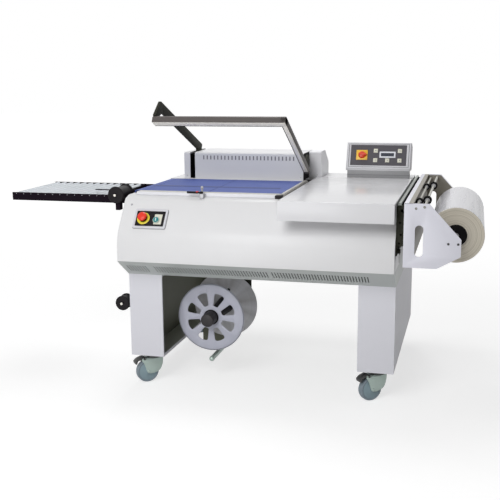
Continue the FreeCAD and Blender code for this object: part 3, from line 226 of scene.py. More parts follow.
def fixed(name, bm, finish, stands_for=(), smooth=35):
    """A piece that stands still with the machine."""
    piece(name, bm, finish, "machine", stands_for, smooth)


def mounted(place, usual_body="machine"):
    """A way to make pieces whose shapes are drawn about a tilted place."""

    def mount(name, bm, finish, slot, stands_for=(), body=usual_body):
        piece(name, placed(bm, place), finish, body, stands_for)

    return mount


# Finishes

input_kinds = {1: "NodeSocketFloat", 3: "NodeSocketVector", 4: "NodeSocketColor"}
output_kinds = {"Colour": "NodeSocketColor", "Roughness": "NodeSocketFloat", "Normal": "NodeSocketVector"}


def group_of(name, inputs, outputs):
    """A shader node group with its input and output nodes; an input's kind follows from its value."""
    group = bpy.data.node_groups.new(name, "ShaderNodeTree")
    for label, value in inputs.items():
        size = len(value) if isinstance(value, tuple) else 1
        socket = group.interface.new_socket(name=label, in_out="INPUT", socket_type=input_kinds[size])
        socket.default_value = value
    for label in outputs:
        group.interface.new_socket(name=label, in_out="OUTPUT", socket_type=output_kinds[label])
    return group, group.nodes.new("NodeGroupInput"), group.nodes.new("NodeGroupOutput")


def feed(tree, value, socket):
    """Set a socket to a value, or wire it up if the value is the output of a node."""
    if isinstance(value, (int, float, tuple)):
        socket.default_value = value
    else:
        tree.links.new(value, socket)


def node_of(tree, kind, inputs=None):
    """A new shader node with some of its inputs fed, by label or by number."""
    node = tree.nodes.new("ShaderNode" + kind)
    for label, value in (inputs or {}).items():
        feed(tree, value, node.inputs[label])
    return node


def noise_of(tree, vector, scale, detail=4, rough=0.5):
    """How strong a noise texture is at each point."""
    return node_of(tree, "TexNoise", {"Detail": detail, "Roughness": rough, "Vector": vector,
            "Scale": scale}).outputs["Fac"]


def reckon(tree, operation, *values, kind="Math", clamp=False):
    """A calculation on numbers, or on vectors if the kind is VectorMath."""
    node = node_of(tree, kind)
    node.operation = operation
    if clamp:
        node.use_clamp = True
    for socket, value in zip(node.inputs, values):
        feed(tree, value, socket)
    return node.outputs["Value" if kind == "Math" or operation == "LENGTH" else "Vector"]


def blended(tree, kind, amount, first, second):
    """Two colours mixed."""
    node = tree.nodes.new("ShaderNodeMix")
    node.data_type = "RGBA"
    node.blend_type = kind
    for number, value in ((0, amount), (6, first), (7, second)):
        feed(tree, value, node.inputs[number])
    return node.outputs[2]


def bumped(tree, end, strength, height, distance):
    """Send a height out of the group as a bumped normal; the distance is in metres."""
    bump = node_of(tree, "Bump", {"Distance": distance, "Strength": strength, "Height": height})
    feed(tree, bump.outputs["Normal"], end.inputs["Normal"])


def unevened(tree, start, end, noise, share):
    """Send the roughness out of the group, changed a little by the noise."""
    change = reckon(tree, "MULTIPLY", reckon(tree, "SUBTRACT", noise, 0.5), share)
    feed(tree, reckon(tree, "ADD", start.outputs["Roughness"], change), end.inputs["Roughness"])


def paint_group():
    """Stoved paint: faint orange peel, uneven tone, a little dirt in patches."""
    tree, start, end = group_of("stoved_paint", {"Colour": (0.8, 0.8, 0.8, 1), "Roughness": 0.4,
            "Peel scale": 900, "Peel depth": 0.05, "Dirt": 0.05}, ("Colour", "Roughness", "Normal"))
    place = node_of(tree, "TexCoord").outputs["Object"]
    peel = noise_of(tree, place, start.outputs["Peel scale"], 2)
    wave = noise_of(tree, place, 5, 3)
    smear = noise_of(tree, place, 14, 6, 0.65)
    tone = reckon(tree, "MULTIPLY_ADD", wave, 0.05, 0.975)
    toned = blended(tree, "MULTIPLY", 1.0, start.outputs["Colour"], tone)
    spots = reckon(tree, "SUBTRACT", smear, 0.52, clamp=True)
    spots = reckon(tree, "MULTIPLY", spots, start.outputs["Dirt"])
    feed(tree, blended(tree, "MIX", spots, toned, (0.30, 0.29, 0.26, 1)), end.inputs["Colour"])
    unevened(tree, start, end, smear, 0.16)
    bumped(tree, end, start.outputs["Peel depth"], peel, 0.0004)
    return tree


def grain_group():
    """Drawn or turned metal: fine streaks along one axis and uneven dullness."""
    tree, start, end = group_of("metal_grain", {"Colour": (0.7, 0.7, 0.7, 1), "Roughness": 0.35,
            "Stretch": (1, 1, 1), "Depth": 0.15, "Stain": 0.3}, ("Colour", "Roughness", "Normal"))
    place = node_of(tree, "TexCoord").outputs["Object"]
    stretched = reckon(tree, "MULTIPLY", place, start.outputs["Stretch"], kind="VectorMath")
    streak = noise_of(tree, stretched, 60, 5, 0.6)
    cloud = noise_of(tree, place, 22, 4, 0.6)
    stain = reckon(tree, "SUBTRACT", cloud, 0.45, clamp=True)
    stain = reckon(tree, "MULTIPLY", stain, start.outputs["Stain"])
    toned = blended(tree, "MIX", stain, start.outputs["Colour"], (0.25, 0.24, 0.22, 1))
    feed(tree, toned, end.inputs["Colour"])
    unevened(tree, start, end, streak, 0.3)
    bumped(tree, end, start.outputs["Depth"], streak, 0.0004)
    return tree


def layers_group():
    """Rings round a Y axis, as a roll's layers show, and soft sectors of painted sheen, like the light on a
    turned disc.
    """
    tree, start, end = group_of("rings_and_painted_sheen", {"Centre": (0, 0, 0), "Light": (0.8, 0.8, 0.8, 1),
            "Dark": (0.4, 0.4, 0.4, 1), "Ring scale": 60, "Painted sheen share": 0.0, "Depth": 0.2},
            ("Colour", "Normal"))
    place = node_of(tree, "TexCoord").outputs["Object"]
    moved = reckon(tree, "SUBTRACT", place, start.outputs["Centre"], kind="VectorMath")
    flat = reckon(tree, "MULTIPLY", moved, (1, 0, 1), kind="VectorMath")
    reach = reckon(tree, "LENGTH", flat, kind="VectorMath")
    along = node_of(tree, "CombineXYZ", {0: reach}).outputs[0]
    rings = noise_of(tree, along, start.outputs["Ring scale"], 5, 0.7)
    # Sectors round the centre, mixed in by their share: painted sheen.
    aim = reckon(tree, "NORMALIZE", flat, kind="VectorMath")
    sectors = noise_of(tree, aim, 2.2, 2, 0.5)
    share = blended(tree, "MIX", start.outputs["Painted sheen share"], rings, sectors)
    spread = node_of(tree, "MapRange", {"From Min": 0.32, "From Max": 0.68, "Value": share})
    tone = blended(tree, "MIX", spread.outputs["Result"], start.outputs["Light"], start.outputs["Dark"])
    feed(tree, tone, end.inputs["Colour"])
    bumped(tree, end, start.outputs["Depth"], rings, 0.0006)
    return tree


stoved_paint = paint_group()
metal_grain = grain_group()
rings_and_painted_sheen = layers_group()


def bare_finish(name):
    finish = bpy.data.materials.new(name)
    finish.use_nodes = True
    return finish, finish.node_tree, finish.node_tree.nodes["Principled BSDF"]


def grouped(name, group, values, more):
    """A finish fed by one of the shader groups, with more values for the shader itself."""
    finish, tree, shader = bare_finish(name)
    source = tree.nodes.new("ShaderNodeGroup")
    source.node_tree = group
    for label, value in values.items():
        feed(tree, value, source.inputs[label])
    for label, socket in (("Colour", "Base Color"), ("Roughness", "Roughness"), ("Normal", "Normal")):
        if label in source.outputs:
            feed(tree, source.outputs[label], shader.inputs[socket])
    for label, value in more.items():
        feed(tree, value, shader.inputs[label])
    return finish


def painted(name, colour, rough=0.42, peel=900, depth=0.05, dirt=0.05, gloss=0.4):
    """Stoved paint, cloth, rubber or plastic; colours are shares of red, green and blue."""
    return grouped(name, stoved_paint, {"Colour": colour + (1,), "Roughness": rough, "Peel scale": peel,
            "Peel depth": depth, "Dirt": dirt}, {"Specular IOR Level": gloss})


def metal(name, colour, rough=0.32, stretch=(1, 1, 1), depth=0.12, stain=0.3, metallic=1.0):
    """Metal with streaks along the axis whose stretch is smallest."""
    return grouped(name, metal_grain, {"Colour": colour + (1,), "Roughness": rough, "Stretch": stretch,
            "Depth": depth, "Stain": stain}, {"Metallic": metallic})


def ringed(name, centre, light, dark, rings, sectors, depth, rough):
    """Rings, and sectors of painted sheen, round a centre in millimetres."""
    return grouped(name, rings_and_painted_sheen, {"Centre": tuple(length / 1000 for length in centre),
            "Light": light + (1,), "Dark": dark + (1,), "Ring scale": rings, "Painted sheen share": sectors,
            "Depth": depth}, {"Roughness": rough})


along_y = (6, 0.05, 6)
white_coat = painted("white_powder_coat", (0.76, 0.76, 0.77), 0.38)
# The side and rear panels are painted darker than the front: painted shade of the sides that face away from
# the lamps.
side_painted_shade = painted("side_panel_painted_shade", (0.50, 0.51, 0.52), 0.40, gloss=0.15)
band_coat = painted("pale_channel_coat", (0.80, 0.80, 0.84), 0.40)
pan_coat = painted("grey_powder_coat", (0.52, 0.55, 0.54))
leg_coat = painted("leg_powder_coat", (0.71, 0.71, 0.76), 0.40, gloss=0.15)
hood_coat = painted("hood_powder_coat", (0.75, 0.75, 0.77))
# The right hood is painted lighter than the other hoods, to lift the shade on its front: painted light.
hood_painted_light = painted("hood_right_painted_light", (0.92, 0.92, 0.95))
box_coat = painted("box_powder_coat", (0.56, 0.56, 0.58), 0.40)
box_frame = painted("box_frame_coat", (0.66, 0.66, 0.69), 0.36)
box_shade = painted("box_joint_coat", (0.20, 0.20, 0.21), 0.5)
tray_enamel = painted("tray_enamel", (0.75, 0.75, 0.77), 0.20, 700, 0.02, 0.0, gloss=0.25)
bracket_coat = painted("bracket_powder_coat", (0.72, 0.72, 0.79), 0.40)
black_coat = painted("black_powder_coat", (0.012, 0.008, 0.013), 0.5, 1200, 0.10, gloss=0.02)
olive_coat = painted("olive_black_coat", (0.034, 0.034, 0.026), 0.5, 1200, 0.08, 0.10, gloss=0.03)
# Olive for the walls inside the legs and grey for their floors: partly the legs' own tone, partly painted
# shade.
shade_olive = painted("olive_painted_shade", (0.15, 0.155, 0.115), 0.5, dirt=0.3, gloss=0.1)
pale_floor_shade = painted("leg_floor_painted_shade", (0.46, 0.47, 0.41), 0.5, dirt=0.2, gloss=0.2)
black_moulding = painted("black_moulding", (0.014, 0.012, 0.014), 0.45, 1500, 0.12, gloss=0.10)
knob_grey = painted("knob_moulding", (0.030, 0.027, 0.029), 0.45, 1500, 0.12, 0.1, gloss=0.25)
spool_moulding = painted("spool_moulding", (0.46, 0.47, 0.55), 0.45, 700, 0.12, 0.1)
bar_anodised = painted("bar_anodised", (0.115, 0.103, 0.099), 0.45, dirt=0.2, gloss=0.12)
strip_pale = painted("strip_facing", (0.99, 0.95, 0.87), 0.35, depth=0.03, dirt=0.0)
rolled_aluminium = metal("rolled_aluminium", (0.44, 0.47, 0.50), 0.38, (6, 0.06, 6), stain=0.15,
        metallic=0.5)
turned_steel = metal("turned_steel", (0.60, 0.60, 0.60), 0.30, along_y, 0.10, 0.2)
tube_dull = metal("dull_tube", (0.42, 0.41, 0.37), 0.42, along_y, 0.10, metallic=0.2)
rod_steel = metal("guide_rod_steel", (0.24, 0.26, 0.24), 0.34, along_y, 0.10, metallic=0.6)
zinc_plate = metal("zinc_plate", (0.42, 0.51, 0.47), 0.40, depth=0.15, metallic=0.4)
cast_alloy = metal("cast_alloy", (0.40, 0.40, 0.42), 0.5, depth=0.4, metallic=0.5)
wheel_moulding = painted("wheel_moulding", (0.25, 0.34, 0.38), 0.4, depth=0.08, dirt=0.3)
tyre_rubber = painted("tyre_rubber", (0.22, 0.27, 0.31), 0.5, 600, 0.2, 0.4)
belt_cloth = painted("belt_cloth", (0.058, 0.094, 0.315), 0.6, 1500, 0.3, gloss=0.25)
# Dark blue of the lacing, also used for the band of painted shadow along the belt.
belt_joint_and_shadow = painted("belt_joint_and_shadow", (0.036, 0.056, 0.19), 0.6, depth=0.1, dirt=0.1, gloss=0.25)
pad_pale = painted("pale_silicone", (0.60, 0.59, 0.55), 0.4)
lower_bar = metal("lower_bar", (0.60, 0.58, 0.54), 0.5, (0.05, 1, 1), 0.10, 0.2, 0.1)
black_rubber = painted("black_rubber", (0.005, 0.0045, 0.005), 0.6, depth=0.3, gloss=0.05)
button_red = painted("button_red", (0.80, 0.035, 0.012), 0.30, 300, 0.01, 0.0)
button_orange = painted("switch_red", (0.72, 0.045, 0.010), 0.30, 300, 0.01, 0.0)
button_teal = painted("button_teal", (0.015, 0.26, 0.27), 0.25, 300, 0.01, 0.0)
label_cream = painted("label_cream", (0.72, 0.71, 0.60), 0.4, 300, 0.01, 0.0)
label_pale = painted("display_frame_pale", (0.78, 0.79, 0.84), 0.35, depth=0.02, dirt=0.0)
collar_yellow = painted("collar_yellow", (0.80, 0.68, 0.04), 0.35, 300, 0.01, 0.0)
plate_yellow = painted("switch_plate_yellow", (0.90, 0.55, 0.05), 0.35, 300, 0.01, 0.0)
# Grey for the sheet behind the hood's vents: painted shade of the hood's inside.
hood_shade = painted("hood_inner_painted_shade", (0.24, 0.23, 0.26), 0.5, dirt=0.1, gloss=0.2)
# The box neck is painted darker than the box: painted shade under the box.
neck_shade = painted("neck_painted_shade", (0.34, 0.34, 0.35))
station_rim = painted("station_rim", (0.66, 0.66, 0.70), 0.40, depth=0.03, dirt=0.0)
dark_steel = metal("dark_steel", (0.05, 0.05, 0.05), 0.5, depth=0.15, stain=0.2, metallic=0.1)
mark_grey = painted("key_mark", (0.25, 0.25, 0.24), 0.4)
panel_grey = painted("panel_grey", (0.075, 0.070, 0.082), 0.42, 2000, dirt=0.02, gloss=0.25)
display_glass = painted("display_glass", (0.030, 0.035, 0.055), 0.12, 300, 0.0, 0.0)
# Darker paint for the bracket's inner faces: painted shade.
bracket_shade = painted("bracket_inner_painted_shade", (0.30, 0.28, 0.24), 0.45, dirt=0.3, gloss=0.2)
film_end = ringed("film_end", roll_at, (0.86, 0.80, 0.69), (0.42, 0.38, 0.29), 230, 0.0, 0.5, 0.25)
film_skin = metal("film_skin", (0.62, 0.62, 0.66), 0.25, (0.9, 0.03, 0.9), stain=0.2, metallic=0.0)
# The rear flange is painted lighter to lift the shade between the flanges, and its sectors are painted
# sheen.
spool_plate_painted_sheen = ringed("spool_plate_painted_sheen", spool_at, (0.80, 0.80, 0.84), (0.50, 0.49, 0.50), 90, 0.75, 0.1, 0.4)

finish_of = {}
for finish, names in (
        (leg_coat, "left_leg right_leg"),
        (olive_coat, "main_frame bridge_arm winder_bracket"),
        (pan_coat, "base_pan"),
        (white_coat, "front_panel deck_plate station_plate"),
        (side_painted_shade, "side_and_rear_panels"),
        (turned_steel, "conveyor_bed drive_roller idle_roller arm_shaft mandrel dancer_arm"),
        (belt_cloth, "conveyor_belt"),
        (black_coat, "gear_motor film_guide_frame exit_table_frame pulley_brackets"),
        (bar_anodised, "seal_base seal_bar_frame"),
        (pad_pale, "seal_pads"),
        (strip_pale, "seal_strips"),
        (cast_alloy, "arm_bearings stop_post"),
        (hood_coat, "hood_left hood_centre"),
        (hood_painted_light, "hood_right"),
        (box_coat, "control_box"),
        (label_cream, "key_1 key_2 key_3 key_4 key_5"),
        (button_red, "main_switch_knob estop_button"),
        (button_teal, "start_button"),
        (black_moulding, "stop_lever spool_core upper_pulley lower_pulley"),
        (tray_enamel, "product_tray"),
        (bracket_coat, "unwinder_bracket"),
        (black_rubber, "feed_roller_left feed_roller_right"),
        (film_skin, "film_roll"),
        (rolled_aluminium, "exit_rollers"),
        (spool_moulding, "scrap_spool")):
    for name in names.split():
        finish_of[name] = finish
for name, item in nodes.items():
    finish = finish_of.get(name)
    if name.endswith("_castor_fork") or name.endswith("_castor_pedal"):
        finish = zinc_plate
    if name.endswith("_castor_wheel"):
        finish = wheel_moulding
    item.data.materials.clear()
    item.data.materials.append(finish)


# Casing

def softened(bm, pick, offset, segments=3):
    """Round the edges whose middle the pick accepts."""
    edges = [edge for edge in bm.edges if pick((edge.verts[0].co + edge.verts[1].co) / 2, edge)]
    eased(bm, edges, offset, segments)
    return bm


def along_x(edge):
    """Whether an edge runs along the machine."""
    return abs(edge.verts[0].co.x - edge.verts[1].co.x) > 50


def dress_front_panel():
    """Vertical front that bends back in one sweep to the flange before the seal bar."""
    lower_edge, rear_edge = 575, -301
    bm = extruded([(front_y, lower_edge), (front_y, bend_z), (-398, panel_top), (-358, flange_z),
                   (rear_edge, flange_z), (rear_edge, lower_edge)], "X", casing_left, casing_width)
    softened(bm, lambda m, e: along_x(e) and abs(m.z - bend_z) < 1 and m.y < -500, 46, 8)
    softened(bm, lambda m, e: along_x(e) and abs(m.z - panel_top) < 1, 5)
    hem = lower_edge + 1
    softened(bm, lambda m, e: m.y < -500 and m.z < hem if along_x(e) else m.z > hem, 1.6, 2)
    fixed("front_panel_skin", bm, white_coat, ["front_panel"], 32)
    screws = [screw_head(at_lean(x, 153), 4.6) for x in (-413, 649)]
    fixed("front_panel_screws", merged(*screws), cast_alloy)


lean = math.atan2(110, panel_top - bend_z)
lean_place = Matrix.Translation((0, front_y, bend_z)) @ Matrix.Rotation(-lean, 4, "X")


def at_lean(x, climb):
    """A place on the leaning panel: X, and distance up the slope from the bend."""
    return lean_place @ Matrix.Translation((x, 0, climb))


def screw_head(place, radius=4.0, height=2.0):
    """A round socket-head screw whose axis is the place's own -Y."""
    bm = turned([(0, height * 0.4), (radius * 0.42, height * 0.4), (radius * 0.42, height),
                 (radius * 0.8, height), (radius, height * 0.65), (radius, -0.4), (0, -0.4)], (0, 0, 0),
                20, to_front)
    return placed(bm, place)


def screws_at(places, turn, *size):
    """Screw heads at several places, turned about Z from looking to the front."""
    spin = Matrix.Rotation(turn, 4, "Z")
    return [screw_head(Matrix.Translation(place) @ spin, *size) for place in places]


def dress_tray():
    """Packing tray: one folded sheet with a deep flap in front."""
    bm = extruded([(-546, 774), (-546, 850), (325, 850), (325, 834.2), (-520, 834.2), (-543, 774)], "X",
                  235, 450)
    softened(bm, lambda m, e: m.z > 849 or (m.y < -540 and m.z > 774.5), 3.5, 4)
    softened(bm, lambda m, e: m.z < 775 and e.calc_face_angle(0) > 0.6, 0.8, 2)
    fixed("product_tray_skin", bm, tray_enamel, ["product_tray"])


def dress_casing_trim():
    """Screws, panel seams, a catch below the pan and a dark sheet of painted shade behind the louvres."""
    behind = [(x, rear_y, z) for x in (-424, -60, 300, 660) for z in (600, 815)]
    left = [(casing_left, y, z) for y in (-240, 60, 300, 500) for z in (596, 818)]
    heads = screws_at(behind, math.pi, 4) + screws_at(left, -math.pi / 2, 3.6)
    fixed("casing_screws", merged(*heads), turned_steel)
    seams = boxed((-449.6, -301.6, 576), (-448.9, -300.4, 833), 0)
    seam_right = boxed((684.9, -301.6, 576), (685.6, -300.4, 833), 0)
    fixed("panel_seams", merged(seams, seam_right), black_coat)
    latch = boxed((463, -330, 485.5), (510, -296, 498), 2.0)
    fixed("pan_catch", latch, black_coat)
    # A dark sheet behind the louvres stands for the shade there: painted shade.
    slope = [(-481, 566), (-396, 509.6), (-390, 509.6), (-390, 516), (-472, 570)]
    louvre_shade = extruded(slope, "X", -440, 1116)
    fixed("louvre_shade_sheet", louvre_shade, olive_coat)


# Conveyor and seal bars

def dress_seal_base():
    """Lower jaws: a pale front channel, a bare side channel with dark joint lines, black end blocks."""
    low, top = flange_z + 0.2, 847
    front = boxed((-414, -357.6, low), (198, -316.4, top), 0.8)
    fixed("seal_base_front", front, band_coat, ["seal_base"])
    side = boxed((199.4, -360, low), (220.6, 190, top), 0.8)
    fixed("seal_base_side", side, lower_bar)
    line = boxed((201.2, -356, top - 0.2), (202.8, 186, top + 0.4), 0)
    edge = boxed((217.6, -356, top - 0.2), (219.4, 186, top + 0.4), 0)
    end = boxed((196, -408, 838), (224, -372, 852), 2.0, 3)
    knuckle = boxed((200, -376, 840), (220, -350, 849.4), 2.0, 3)
    rear = boxed((198, 178, 836), (224, 204, 849.4), 2.0, 3)
    rear_pin = turned([(0, 0), (7, 0), (9, 3), (9, 12), (7, 15), (0, 15)], (222, 190, 840), 24, to_right)
    fixed("seal_base_ends", merged(line, edge, end, knuckle, rear, rear_pin), black_moulding)


def dress_pads():
    """Pale silicone strips on the lower jaws."""
    top = 849.7
    front = boxed((-408, -346, belt_z), (214, -326, top), 1.2, 3)
    side = boxed((204.5, -344, belt_z), (215.5, 178, top), 1.2, 3)
    fixed("seal_pad_strips", merged(front, side), pad_pale, ["seal_pads"])


def dress_belt_edges():
    """A darker band of painted shadow along the belt, the lacing across it and thin nose plates at its ends.
    """
    join = boxed((-118, -295.5, belt_z), (-114, 153.5, belt_z + 0.5), 0.15)
    # The darker band along the belt is painted shadow of the arm, in the lacing's colour.
    shadow_band = boxed((-420, -152, belt_z), (160, -108, belt_z + 0.3), 0.1)
    fixed("belt_lacing_and_shadow_band", merged(join, shadow_band), belt_joint_and_shadow)
    left_line = rounded([(-447, 833), (-447, 844, 9), (-404, 846.2), (-404, 845.6), (-440, 843),
                         (-444, 833)], 0, 5)
    left = extruded(left_line, "Y", belt_front, belt_depth)
    right = extruded([(150, 846.2), (198.6, 846.2), (198.6, 844.4), (160, 845.4)], "Y", belt_front,
                     belt_depth)
    fixed("belt_noses", merged(left, right), belt_cloth)


arm_place = Matrix.Translation((0, hinge_y, hinge_z)) @ Matrix.Rotation(math.radians(-arm_raise), 4, "X")


def dress_arm():
    """Upper jaws: a bridge on the left, a beam in front, a bar on the right, pale strips below."""
    mount = mounted(arm_place, "sealing_arm")
    bridge_line = rounded([(-621, -39), (-579, 45), (27, 101), (29, 0, 14), (0, -26, 12), (-24, -4, 8),
            (-25, 55), (-545, 7), (-588, -39)], 5, 5)
    bridge = extruded(bridge_line, "X", -351, 12, 0.9)
    boss = turned([(0, 0), (24, 0), (26, 2), (26, 12), (24, 14), (0, 14)], (-352, 0, 0), 36, to_right)
    hinge_line = rounded([(-96, -64, 2), (-96, -41, 2), (-44, 26, 10), (-14, 30, 8), (12, 22), (23, 6),
                          (22, -10), (8, -23), (-30, -64, 8)], 8, 5)
    hinge = extruded(hinge_line, "X", 199, 9, 0.8)
    mount("bridge_arm_plate", merged(bridge, boss, hinge), olive_coat, "dark_frame", ["bridge_arm"])
    shaft = turned([(0, -376.4), (11, -376.4), (12, -375), (12, 209), (11, 210), (0, 210)], (0, 0, 0), 36,
                   to_right)
    mount("arm_shaft_bar", shaft, dark_steel, "steel", ["arm_shaft"])
    beam_line = [(-621, -66), (-621, -47), (-613, -39), (-579, -39), (-579, -66)]
    beam = extruded(beam_line, "X", -351, 572, 1.2)
    lip = boxed((-351, -621, -70), (221, -619.4, -65), 0.4, 1)
    side_line = beam_line[:3] + [(-60, -39), (-30, -54), (-30, -66)]
    side = extruded(side_line, "X", 199, 22, 1.2)
    mount("seal_beam", merged(beam, lip, side), bar_anodised, "bar_metal", ["seal_bar_frame"])
    front_strip = boxed((-350, -619.2, -70), (219, -583.4, -65.5), 0.8)
    side_strip = boxed((202.4, -583.4, -70), (219.4, -66, -65.5), 0.8)
    mount("seal_strip_faces", merged(front_strip, side_strip), strip_pale, "bar_metal", ["seal_strips"])
    rear_guard = boxed((-350, -583.2, -70), (199, -579, -62), 0.6)
    side_guard = boxed((199.2, -583.2, -70), (202.2, -66, -62), 0.6)
    look_up = Matrix.Rotation(math.radians(-90), 4, "X")
    heads = [screw_head(Matrix.Translation((x, -600, -39)) @ look_up, 4.5, 2.4)
             for x in (-300, -150, 0, 150)]
    mount("seal_beam_guards", merged(rear_guard, side_guard), olive_coat, "dark_frame")
    mount("seal_beam_screws", merged(*heads), turned_steel, "steel")


def dress_film_stop():
    """Film stop: block and ball post, with a black lever that ends in a red button."""
    block = extruded([(-386, 827), (-386, 848), (-360, 848), (-360, 834)], "X", -128, 18, 1.5, 3)
    post = turned([(0, 0), (4, 0), (4, 17), (3, 18), (5.2, 21), (6.6, 25), (5.2, 29.5), (3, 31.5),
                   (0, 32)], (-121, -366, 846), 24, upwards)
    pin = turned([(0, 0), (4, 0), (4, 7), (0, 8)], (-121, -379, 847), 20, upwards)
    fixed("film_stop_block", merged(block, post, pin), cast_alloy, ["stop_post"])
    lever = boxed((-182, -385, 848.2), (-131, -375, 857), 2.4, 3)
    hub = turned([(4.1, 0), (8, 0), (9, 1), (9, 6), (7.5, 8), (4.1, 8)], (-121, -379, 848.4), 28, upwards)
    neck = boxed((-134, -382, 849), (-125, -376, 853))
    piece("film_stop_lever", merged(lever, hub, neck), black_moulding, "stop_lever_body",
          ["stop_lever"])
    button = turned([(0, 0), (6, 0), (6.6, 1), (6.6, 3), (5.4, 4.4), (0, 5)], (-138, -379, 853.4), 24,
                    upwards)
    piece("film_stop_button", button, button_red, "stop_lever_body")


# Hood

def dress_hood():
    """Screws, bolts, black sheets of painted shade in the two gaps in which the arm swings, and a grey one
    behind the vents.
    """
    heads = screws_at([(-372, 192, 858), (183, 192, 858), (236, 327, 858)], 0, 3.2, 1.4)
    fixed("hood_screws", merged(*heads), turned_steel)
    # The black sheets in the arm's gaps stand for the shade there: painted shade.
    low = belt_z + 0.2
    wall = boxed((-356.95, 193.5, low), (-356.1, 536, 903), 0)
    upper = boxed((-356.95, 194.5, 903), (-356.1, 400, 962), 0)
    ground = boxed((-356.6, 196, low), (-333.4, 372, 848.4), 0)
    back = boxed((-356.6, 372, low), (-333.4, 376, 960), 0)
    side = pierced([(193, low), (193, 961), (203, 969.4), (326, 969.4), (326, low)],
                   [ring_of((hinge_y, hinge_z), 17, 32)], "X", 195.05, 1.2, 0, 1)
    fixed("hood_gap_shade_sheets", merged(wall, upper, ground, back, side), black_rubber)
    # The grey sheet behind the vents stands for the shaded inside of the hood: painted shade.
    vent_shade = boxed((-298, 195.2, 931), (152, 196.4, 959), 0)
    fixed("hood_vent_shade_sheet", vent_shade, hood_shade)
    bits = [turned([(0, 0), (5, 0), (5, 5), (3, 6), (0, 6)], (-345, 371.8, z), 18, to_front)
            for z in (874, 900, 952)]
    fixed("hood_slot_bolts", merged(*bits), turned_steel)


# Exit table

def dress_exit_table():
    """Pale ends of the roller axles, and the black rail skirts, clamp and caps at the rollers' ends."""
    ends = []
    caps = [boxed((-1014.6, y, 791.4), (-470, y + 2.5, 825.6), 0.6, 1) for y in (-329.9, 81.4)]
    caps.append(boxed((-514, -356, 764), (-492, -326, 802), 3))
    for index in range(table_count):
        x = table_left + 20.2 + table_pitch * index
        for y, way in ((-330, -1), (84, 1)):
            ends.append(turned([(0, 0), (1.7, 0), (1.5, 0.8), (0, 1.0)], (x, y, 820), 12, (0, way, 0)))
        for y in (-325.6, 75.6):
            caps.append(turned([(0, 0), (10, 0), (12.6, 1), (12.6, 3.4), (10, 4.4), (0, 4.4)],
                               (x, y, 809.8), 20))
        caps.append(boxed((x + 11, 66, 812), (x + 24, 79.5, 826.5), 1.0, 1))
        caps.append(boxed((x + 8, -325.5, 813), (x + 27, -318, 825.5), 1.0, 1))
    fixed("roller_axle_ends", merged(*ends), cast_alloy)
    fixed("roller_end_caps", merged(*caps), black_coat)


def dress_pulleys():
    """Scrap film pulleys: two flanges on a fat drum, with a pale bolt in the middle."""

    def drum(radius, length):
        waist = radius * 0.84
        return both_ends([(6.1, 0), (radius * 0.5, 0), (radius - 3, 1), (radius, 3.5), (radius, 8),
                          (waist, 14)], length)

    piece("upper_pulley_drum", turned(drum(36, 118), (-507, -368, 830), 56), black_moulding,
          "upper_pulley_body", ["upper_pulley"])
    piece("lower_pulley_drum", turned(drum(32, 60), (-486, -386, 362), 56), black_moulding,
          "lower_pulley_body", ["lower_pulley"])
    bolts = [turned([(0, 0), (5.4, 0), (5.4, 3), (4.2, 4), (0, 4)], place, 18, to_front)
             for place in ((-507, -374, 830), (-486, -392, 362))]
    fixed("pulley_bolts", merged(*bolts), strip_pale)


# Operator station and control box

station_place = lean_place @ Matrix.Translation((-316.5, 0, 87.4))


def dress_station():
    """White frame, black face, emergency stop on a yellow disc, start button on a cream label."""
    mount = mounted(station_place)
    half, tall, overlap = 71.5, 45, 1.2
    rim = rounded(rectangle(-half, -tall, half, tall), 9, 6)
    mouth = rounded(rectangle(-62, -35, 62, 35), 2.5, 4)
    mount("station_frame", pierced(rim, [mouth], "Y", -7, 7, 1.6, 3), station_rim, "painted_sheet",
          ["station_plate"])
    outer = rounded(rectangle(-half - overlap, -tall - overlap, half + overlap, tall + overlap), 10, 6)
    inner = rounded(rectangle(-70, -43, 70, 43), 8, 6)
    mount("station_gasket", pierced(outer, [inner], "Y", -1.6, 1.5, 0.3, 1), box_shade, "painted_sheet")
    face = boxed((-62.2, -4, -35.2), (62.2, 0, 35.2), 0.5)
    mount("station_face", face, black_moulding, "black_plastic")
    disc = turned([(9.4, 0), (26, 0), (27, 1), (27, 1.8), (25.6, 2.4), (9.4, 2.4)], (-30, -4, 0), 56,
                  to_front)
    mount("stop_disc", disc, collar_yellow, "label_cream")
    collar = turned([(9.4, 0), (17, 0), (17, 2.6), (15.8, 3.6), (9.4, 3.6)], (-30, -6, 0), 40, to_front)
    mount("station_collars", collar, black_rubber, "black_plastic")
    ring = turned([(11.4, 0), (14.5, 0), (14.5, 2.6), (13.6, 3.6), (11.4, 3.6)], (27, -6, -6), 40, to_front)
    mount("start_ring", ring, zinc_plate, "steel")
    mount("start_label", boxed((17, -5.2, -25), (50, -3.9, 21)), label_cream, "label_cream")
    cap = turned([(0, 26), (9, 25.7), (15.5, 24.2), (19, 21.5), (20, 18), (19.2, 14.6), (15.5, 12.2),
                  (9.2, 11), (9.2, 5.4), (0, 5.4)], (-30, -5, 0), 56, to_front)
    mount("stop_cap", cap, button_red, "button_red", ["estop_button"], "estop_button_body")
    button = turned([(0, 9.0), (8.5, 8.8), (10.6, 7.6), (11, 6.2), (11, 3.4), (0, 3.4)], (27, -5, -6), 40,
                    to_front)
    mount("start_cap", button, button_teal, "button_green", ["start_button"], "start_button_body")
    bar = boxed((25.4, -14.6, -12.5), (28.6, -13.6, 0.5), 0.3, 1)
    mount("start_mark", bar, label_pale, "label_cream", (), "start_button_body")


face_tilt = math.radians(box_tilt)
face_middle = (524, box_y + box_face / 2 * math.sin(face_tilt),
               box_low + box_face / 2 * math.cos(face_tilt))
face_place = Matrix.Translation(face_middle) @ Matrix.Rotation(-face_tilt, 4, "X")


